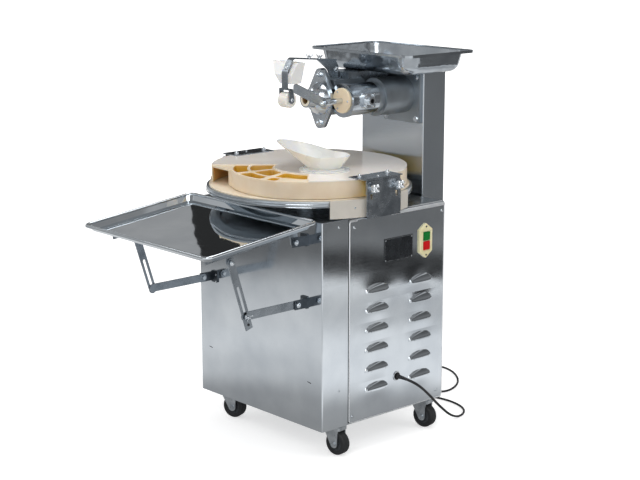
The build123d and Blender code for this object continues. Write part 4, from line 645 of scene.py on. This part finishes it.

# Screws of the cabinet, and black sheets on its front painted as the shade in two slots
bm = bmesh.new()
for y, z in ((-140, 711), (237, 713), (222, 126), (-145, 120)):
    pan_screw(bm, at(PANEL_X, y, z), X, 5)
    pan_screw(bm, at(-PANEL_X, y, z), -X, 5)
for y, z in ((-201, 719), (-199, 213)):
    pan_screw(bm, at(SHELL_X, y, z), X, 3.6)
    pan_screw(bm, at(-SHELL_X, y, z), -X, 3.6)
for x in (-270, 270):
    for z in (118, 415, 712):
        pan_screw(bm, at(x, BACK_Y, z), Y, 5)
for x in (-60, 150):
    pan_screw(bm, at(x, BACK_Y, 200), Y, 5)
piece("cabinet_screws", bm, "machine", bright_steel)
bm = bmesh.new()
slot_outline = [(-8, 2.2), (-8.6, 0.9), (-7.6, 0), (8, -2.2), (8.6, -0.9), (7.6, 0)]
# Painted shade: flat black sheets, not openings
for x, z in ((-243, 248), (236, 241)):
    slab(bm, at(x, FRONT_Y + 0.2, z), X, Z, slot_outline, 0.5)
piece("painted_slot_shade", bm, "machine", black_plastic)

# Gland: bright ring
bm = bmesh.new()
turned(bm, at(PANEL_X, GLAND_Y, GLAND_Z), X, [
    (11.9, -0.3), (15.4, -0.3), (15.4, 1.6), (14.6, 2.4), (12.6, 2.4), (11.9, 1.8)], 32)
piece("gland_ring", bm, "machine", bright_steel)

# Rolled edges: a bead round the right panel, and the fold of the top sheet above it, in a paler steel that is a
# painted highlight
EDGE_BACK, EDGE_FRONT, EDGE_LOW, EDGE_HIGH, EDGE_ROUND = 236.8, -147.8, 111.2, 722.8, 11
edge = []
for cy, cz, turn in ((EDGE_BACK, EDGE_LOW, -90), (EDGE_BACK, EDGE_HIGH, 0),
                     (EDGE_FRONT, EDGE_HIGH, 90), (EDGE_FRONT, EDGE_LOW, 180)):
    for k in range(7):
        a = math.radians(turn + 15 * k)
        edge.append(at(PANEL_X - 1, cy + EDGE_ROUND * math.cos(a), cz + EDGE_ROUND * math.sin(a)))
bm = bmesh.new()
rows = []
for i, point in enumerate(edge):
    run = (edge[(i + 1) % len(edge)] - edge[i - 1]).normalized()
    rows.append(circle(bm, point, Vector((0, run.z, -run.y)), X, 2.0, 10))
skin(bm, rows, loop=True)
piece("panel_bead", bm, "machine", painted_highlight_steel)
fold = [(297.2, 728), (297.2, 732), (296.4, 735), (294.6, 737.8), (291.8, 739.6), (288, 740.6), (282, 740.6),
        (282, 740.1), (291, 738.8), (296, 728)]
bm = bmesh.new()
for ends in ((-160, -128), (14, 249)):
    rows = [[bm.verts.new(at(x, y, z)) for x, z in fold] for y in ends]
    skin(bm, rows)
    bm.faces.new(rows[0])
    bm.faces.new(rows[1][::-1])
piece("top_fold", bm, "machine", painted_highlight_steel)

# Louvres: the pressed sheet over each hood, swelling from both ends, open below
HOOD_HALF, HOOD_OUT, HOOD_HEIGHT, HOOD_SHEET = 50, 11, 25.5, 0.8
HOOD_ROWS, HOOD_STEPS = 32, 10
bm = bmesh.new()
for column in (-1, 1):
    for row in range(LOUVRE_ROWS):
        y_mid, z_lip = LOUVRE_Y + LOUVRE_APART * column, LOUVRE_Z - 0.4 + LOUVRE_PITCH * row
        lips = []
        for inset in (0.0, HOOD_SHEET):
            rows = []
            for i in range(HOOD_ROWS + 1):
                u = -math.cos(math.pi * i / HOOD_ROWS)
                swell = max(1 - u * u, 0) ** 0.42
                y = y_mid + (HOOD_HALF - inset) * u
                points = []
                for k in range(HOOD_STEPS + 1):
                    v = k / HOOD_STEPS
                    x = PANEL_X - 0.4 + (HOOD_OUT - inset) * swell * (1 - v ** 2.3)
                    points.append(bm.verts.new(at(x, y, z_lip + (HOOD_HEIGHT - inset) * swell * v)))
                rows.append(points)
            skin(bm, rows, ring=False)
            lips.append([points[0] for points in rows])
        skin(bm, lips, ring=False)
bmesh.ops.remove_doubles(bm, verts=bm.verts, dist=0.00002)
piece("louvre_hoods", bm, "machine", sheet_steel, angle=60)

# Rating plate: border and rivets
bm = bmesh.new()
for y in (-56, 56):
    for z in (-31, 31):
        turned(bm, at(PANEL_X + 1.5, PLATE_Y + y, PLATE_Z + z), X, [
            (0, -0.2), (2.2, -0.2), (2, 0.5), (1.1, 0.9), (0, 1.0)], 14)
border(bm, at(PANEL_X + 1.4, PLATE_Y, PLATE_Z), (59, 34), (60, 35), 0.4)
piece("plate_trim", bm, "machine", bright_steel)

# Switch: two screws and the raised frame round the buttons
bm = bmesh.new()
for z in (-45, 45):
    pan_screw(bm, at(PANEL_X + 7, SWITCH_Y, SWITCH_Z + z), X, 3)
piece("switch_screws", bm, "machine", arm_paint)
bm = bmesh.new()
border(bm, at(PANEL_X + 6.8, SWITCH_Y, SWITCH_Z), (15.2, 30.6), (18.2, 33.6), 1.6)
piece("switch_frame", bm, "machine", bezel_plastic, 0.5)

# Tray support: nuts at the pins, screws of the clips
bm = bmesh.new()
for side in (1, -1):
    for y, z in (TRAY_PIN, LINK_PIN):
        dome_nut(bm, at(side * 236, y, z), X * side, 6, 7)
        for dz in (-11, 11):
            pan_screw(bm, at(side * 209, FRONT_Y - 3, z - 5 + dz), -Y, 3.4)
piece("clip_bolts", bm, "machine", bright_steel)
bm = bmesh.new()
for side in (1, -1):
    dome_nut(bm, at(side * 235.4, *STRUT_PIN), X * side, 6, 6)
piece("strut_nuts", bm, "tray", bright_steel)
bm = bmesh.new()
wing_nut(bm, at(236.4, *KNEE), X, 6, 0.5)
socket_screw(bm, at(-236.4, *KNEE), -X, 5, 5)
piece("knee_nuts", bm, "links", bright_steel, 0.4)
bm = bmesh.new()
pan_screw(bm, at(231.3, -498, 464), X, 4.2)
piece("strut_screw", bm, "struts", black_plastic)

# Casters: axle nuts and hub rings with five spokes
CASTERS = {"fr": (242, -182, 8), "fl": (-242, -200, 20), "br": (242, 200, 10), "bl": (-242, 200, 35)}
CASTER_TRAIL, AXLE_Z = 25, 37.5
for corner, (x, y, heading) in CASTERS.items():
    h = math.radians(heading)
    axle = at(x + CASTER_TRAIL * math.cos(h), y + CASTER_TRAIL * math.sin(h), AXLE_Z)
    nuts = bmesh.new()
    hubs = bmesh.new()
    for sign in (1, -1):
        outward = Vector((math.sin(h), -math.cos(h), 0)) * sign
        turned(nuts, axle + outward * 0.021, outward, [
            (5.1, -0.2), (8.8, -0.2), (8.8, 0.8), (7.4, 0.9), (six_sided(7.2), 0.9), (six_sided(7.2), 3.8),
            (6.0, 4.4), (5.2, 4.4), (5.0, 3.6), (0, 3.4)], HEAD_STEPS)
        hub = axle + outward * 0.011
        turned(hubs, hub, outward, [
            (10.4, -0.3), (10.4, 2.6), (12.4, 2.9), (13.4, 1.2), (20.2, 0.9), (21.2, 3.0), (23.6, 3.0),
            (23.9, -0.3)], 40)
        u, v, w = across(outward)
        for k in range(5):
            a = 2 * math.pi * k / 5
            arm = u * math.cos(a) + v * math.sin(a)
            slab(hubs, hub, arm, w.cross(arm), [(12, -2), (21, -2.6), (21, 2.6), (12, 2)], 2.4)
    piece("axle_nuts_" + corner, nuts, "fork_" + corner, zinc_steel)
    piece("wheel_hub_" + corner, hubs, "wheel_" + corner, hub_plastic)

# Ring: bolts of the hangers and the scoop's flange
bm = bmesh.new()
for side in (1, -1):
    for y in (RING_Y - 58, RING_Y + 58):
        dome_nut(bm, at(side * 290, y, RING_TOP), Z, 6.5, 10)
    pan_screw(bm, at(side * 310, RING_Y, RING_TOP), Z, 4.5)
scoop_turn = math.radians(-19)
scoop_x, scoop_y = 120 * math.cos(scoop_turn), RING_Y + 120 * math.sin(scoop_turn)
for k in range(4):
    a = math.radians(20 + 90 * k)
    pan_screw(bm, at(scoop_x + 70.5 * math.cos(a), scoop_y + 70.5 * math.sin(a), RING_TOP + 1), Z, 3.2)
piece("ring_bolts", bm, "ring", bright_steel)

# Clamping knobs: four rounded lobes round a hub, on the stud
bm = bmesh.new()
for side in (-1, 1):
    for y in (RING_Y - 52, RING_Y + 52):
        turned(bm, at(KNOB_X * side, y, KNOB_Z), X * side, [
            (0, -12.3), (4, -12.3), (4, -8.8), (8, -8.7), (8, 0.5), (9.5, 1.5), (9.5, 8), (7, 10.5), (4.8, 11),
            (4.6, 14.6), (3.4, 15.6), (0, 15.8)], 20)
        for k in range(4):
            a = math.radians(45 + 90 * k)
            turned(bm, at(KNOB_X * side, y + 10 * math.cos(a), KNOB_Z + 10 * math.sin(a)), X * side, [
                (0, 0), (4, 0), (5.6, 1.6), (6, 4.5), (5.7, 9), (4.6, 12.6), (2.6, 15.2), (0, 16)], 14)
knobs = piece("lobed_knobs", bm, "ring", knob_steel, angle=50)
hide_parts("ring_knobs")

# Turntable: beads round the rim
BEAD_RADIUS = 321.6
bead = [(1.5 * math.cos(b), 1.3 * math.sin(b)) for b in (-1.57, -0.8, 0.0, 0.8, 1.57, 3.14)]
bm = bmesh.new()
for z in (779, 788):
    rows = []
    for k in range(180):
        a = math.radians(2 * k)
        out = Vector((math.cos(a), math.sin(a), 0))
        rows.append([bm.verts.new(at(0, RING_Y, z) + (out * (BEAD_RADIUS + wide) + Z * high) / 1000)
                     for wide, high in bead])
    skin(bm, rows, loop=True)
piece("disc_beads", bm, "turntable", bright_steel)

# Guards: fixing screws
bm = bmesh.new()
guard_turn = math.radians(-17.5)
for side in (1, -1):
    direction = Vector((side * math.cos(guard_turn), math.sin(guard_turn), 0))
    pan_screw(bm, at(0, RING_Y, 775) + direction * 0.331, direction, 3.2)
piece("guard_screws", bm, "machine", bright_steel)

# Bearing flange bolts under the disc
bm = bmesh.new()
for k in range(4):
    a = math.radians(45 + 90 * k)
    hex_bolt(bm, at(53 * math.cos(a), RING_Y + 53 * math.sin(a), 748), Z, 4.6, 6, 1.3)
piece("bearing_bolts", bm, "machine", bright_steel)

# Feed head: nuts on the nozzle's ears, bolts of the column's flange, screws of the cap and the socket
bm = bmesh.new()
for z in (HEAD_Z + 75, HEAD_Z - 75):
    hex_bolt(bm, at(0, -16, z), -Y, 9.5, 10, 1.3)
    turned(bm, at(0, -16, z), -Y, [(5.4, 9), (5.4, 14), (4.6, 15), (0, 15)], 20)
    hex_bolt(bm, at(0, 4, z), Y, 9.5, 8, 1.25)
for x in (KNIFE_X - 66, KNIFE_X + 66):
    for z in (984, 1116):
        hex_bolt(bm, at(x, 259, z), -Y, 7, 7, 1.35)
for dy in (-16, 16):
    for dz in (-16, 16):
        socket_screw(bm, at(SOCKET_X, SOCKET_Y + dy, HEAD_Z + dz), X, 5, 6)
piece("head_bolts", bm, "machine", bright_steel)
bm = bmesh.new()
for k in range(3):
    a = math.radians(120 * k)
    pan_screw(bm, at(KNIFE_X + 30 * math.cos(a), -4, HEAD_Z + 30 * math.sin(a)), -Y, 3.4)
piece("cap_screws", bm, "machine", bright_steel)
bm = bmesh.new()
turned(bm, at(SOCKET_X + 0.4, SOCKET_Y, HEAD_Z), X, [
    (7.9, 0), (7.9, 11.4), (6.6, 11.4), (5.4, 4), (0, 3)], 24)
piece("socket_seat", bm, "machine", black_plastic)

# Knife: collar on the shaft with its set screw, and the end screw
bm = bmesh.new()
turned(bm, at(KNIFE_X, -75, HEAD_Z), Y, [
    (9.1, 0), (13.4, 0), (14, 0.8), (14, 19), (13.2, 20), (9.1, 20)], 32)
turned(bm, at(KNIFE_X, -79.3, HEAD_Z), -Y, [
    (0, -0.2), (9.5, -0.2), (9.5, 4.6), (8.6, 5.6), (5.6, 5.6), (six_sided(5.2), 5.5), (six_sided(5), 1.5),
    (0, 1.2)], HEAD_STEPS)
turned(bm, at(KNIFE_X + 13.8, -65, HEAD_Z), X, [
    (0, -0.3), (3.6, -0.3), (3.6, 1.6), (2.2, 1.8), (six_sided(2), 1.7), (0, 0.3)], HEAD_STEPS)
piece("knife_collar", bm, "cutter", bright_steel)

# Flour duster: wing nuts, bend screw, gusset bolt, axle screws
bm = bmesh.new()
slope = 16 / 179
arm_up = Vector((0, slope, 1)).normalized()
for y, spin in ((-57, 0.7), (-15, 0.2)):
    wing_nut(bm, at(0, y, 1175 + (48 - y) * slope) + arm_up * 0.002, arm_up, 5.2, spin)
piece("duster_wing_nuts", bm, "machine", bright_steel, 0.3)
bm = bmesh.new()
bend_normal = Vector((0, -0.859, 0.511))
pan_screw(bm, at(0, DUSTER_Y, 1162) + bend_normal * 0.002, bend_normal, 6)
hex_bolt(bm, at(4, 53, 1144), X, 6.5, 6, 1.4)
for side in (1, -1):
    pan_screw(bm, at(side * 24.5, DUSTER_Y, 1065), X * side, 6)
piece("duster_screws", bm, "machine", bright_steel)


# Floor and studio
def seen(tree, path):
    """1 for rays from the camera, straight or through clear plastic, and 0 for others."""
    return calc(tree, "MAXIMUM", path.outputs["Is Camera Ray"], path.outputs["Is Transmission Ray"])


def sheet(name, corners, mat):
    """One flat sheet of the studio."""
    mesh = bpy.data.meshes.new(name)
    mesh.from_pydata(corners, [], [list(range(len(corners)))])
    mesh.materials.append(mat)
    obj = bpy.data.objects.new(name, mesh)
    scene.collection.objects.link(obj)
    return obj


def card(name, centre, facing, width, high, stops):
    """Card that only reflections see, standing at a point and facing the machine; its level goes by height."""
    mat, tree, out = bare_material(name)
    glow = tree.nodes.new("ShaderNodeEmission")
    tree.links.new(shaped(tree, places(tree)[2], high, stops), glow.inputs["Color"])
    tree.links.new(glow.outputs[0], out.inputs["Surface"])
    away = Vector((*facing, 0)).normalized()
    side = Vector((-away.y, away.x, 0)) * width / 2
    foot = Vector((*centre, 0))
    obj = sheet(name, [foot - side, foot + side, foot + side + Z * high, foot - side + Z * high], mat)
    obj.visible_camera = False
    obj.visible_diffuse = False
    obj.visible_shadow = False
    obj.visible_transmission = False


def lamp(name, place, target, size, watts):
    """Soft lamp aimed at a point."""
    data = bpy.data.lights.new(name, "AREA")
    data.shape = "RECTANGLE"
    data.size, data.size_y = size
    data.energy = watts
    obj = bpy.data.objects.new(name, data)
    obj.location = place
    obj.rotation_euler = (Vector(target) - Vector(place)).to_track_quat("-Z", "Y").to_euler()
    scene.collection.objects.link(obj)


# The floor is white to the eye and keeps the shadow; metal sees painted pools of light on it round the machine,
# and a painted shadow close to it
floor_mat, tree, out = bare_material("studio_floor")
path = tree.nodes.new("ShaderNodeLightPath")
coord = tree.nodes.new("ShaderNodeTexCoord")
apart = tree.nodes.new("ShaderNodeVectorMath")
apart.operation = "DISTANCE"
apart.inputs[1].default_value = (0, 0.16, 0)
tree.links.new(coord.outputs["Object"], apart.inputs[0])
distance = apart.outputs["Value"]
diffuse = tree.nodes.new("ShaderNodeBsdfDiffuse")
diffuse.inputs["Color"].default_value = (0.8, 0.8, 0.8, 1)
glow = tree.nodes.new("ShaderNodeEmission")
white = shaped(tree, distance, 6.0, [(0.0, 0.55), (1.4, 0.62), (5.0, 1.0)])
tree.links.new(calc(tree, "MULTIPLY", white, seen(tree, path)), glow.inputs["Strength"])
both = tree.nodes.new("ShaderNodeAddShader")
tree.links.new(diffuse.outputs[0], both.inputs[0])
tree.links.new(glow.outputs[0], both.inputs[1])
x, y, _ = places(tree)
# Painted light and shadow seen only in metal: dark next to the machine, brighter pools further out; one row of
# levels towards the front-left, the other towards the back-right
near_side = shaped(tree, distance, 4.0, [
    (0.0, 0.2), (0.45, 0.3), (0.64, 0.36), (0.95, 0.66), (1.3, 0.76), (1.7, 0.66), (2.1, 0.58), (2.6, 0.56),
    (4.0, 0.8)])
far_side = shaped(tree, distance, 4.0, [
    (0.0, 0.2), (0.45, 0.33), (0.62, 0.4), (0.93, 1.0), (1.35, 0.95), (1.75, 0.62), (2.0, 0.6), (2.25, 0.95),
    (4.0, 1.0)])
pools = tree.nodes.new("ShaderNodeEmission")
turn = spread(tree, calc(tree, "ADD", x, y), 0.0, 1.0, -0.3, 0.5)
tree.links.new(mixed(tree, turn, near_side, far_side), pools.inputs["Color"])
choose = tree.nodes.new("ShaderNodeMixShader")
tree.links.new(path.outputs["Is Glossy Ray"], choose.inputs[0])
tree.links.new(both.outputs[0], choose.inputs[1])
tree.links.new(pools.outputs[0], choose.inputs[2])
tree.links.new(choose.outputs[0], out.inputs["Surface"])
FLOOR_HALF, FLOOR_Z = 40, -0.0006
sheet("studio_floor", [(FLOOR_HALF * a, FLOOR_HALF * b, FLOOR_Z)
                       for a, b in ((-1, -1), (1, -1), (1, 1), (-1, 1))], floor_mat)

card("card_right", (1.72, 1.72), (1, 1), 4.4, 4.5, [
    (0.0, 0.012), (0.1, 0.012), (0.13, 0.08), (0.165, 0.27), (0.21, 0.2), (0.27, 0.17), (0.6, 0.21),
    (1.1, 0.14), (1.65, 0.1), (1.86, 0.6), (2.1, 0.12), (2.6, 0.3), (4.5, 0.4)])
card("card_left", (-1.5, -1.5), (1, 1), 3.2, 2.4, [
    (0.0, 0.5), (0.02, 0.46), (0.05, 0.36), (0.08, 0.26), (0.11, 0.17), (0.15, 0.14), (0.25, 0.14),
    (0.45, 0.36), (0.7, 0.4), (2.4, 0.5)])
card("card_back", (-3.545, 1.055), (1, -1), 1.68, 3.2, [(0.0, 0.36), (3.2, 0.36)])
card("card_dark", (-2.159, 2.441), (1, -1), 2.24, 3.2, [(0.0, 0.03), (3.2, 0.03)])

# The world is white to the eye, plain to matt surfaces, and darker overhead in metal
world = bpy.data.worlds.new("studio")
scene.world = world
world.use_nodes = True
tree = world.node_tree
tree.nodes.clear()
out = tree.nodes.new("ShaderNodeOutputWorld")
back = tree.nodes.new("ShaderNodeBackground")
back.inputs["Color"].default_value = (1, 1, 1, 1)
path = tree.nodes.new("ShaderNodeLightPath")
plain = spread(tree, seen(tree, path), 0.5, 1.0, 0.0, 1.0)
mirrored = shaped(tree, places(tree, "Generated")[2], 1.0, [
    (0.0, 1.0), (0.24, 1.0), (0.4, 0.5), (0.6, 0.22), (1.0, 0.3)])
tree.links.new(mixed(tree, path.outputs["Is Glossy Ray"], plain, mirrored), back.inputs["Strength"])
tree.links.new(back.outputs[0], out.inputs["Surface"])

lamp("top_lamp", (0.3, 0.3, 3.4), (0, 0.1, 0.8), (1.6, 1.6), 32)
lamp("key_lamp", (2.2, -2.9, 2.9), (0, 0, 0.7), (1.8, 1.8), 37)
lamp("left_lamp", (-3.0, -1.6, 2.4), (0, 0, 0.7), (1.6, 2.0), 27)
lamp("right_lamp", (3.0, 1.8, 2.2), (0, 0.1, 0.6), (1.4, 2.0), 20)

bpy.context.view_layer.update()
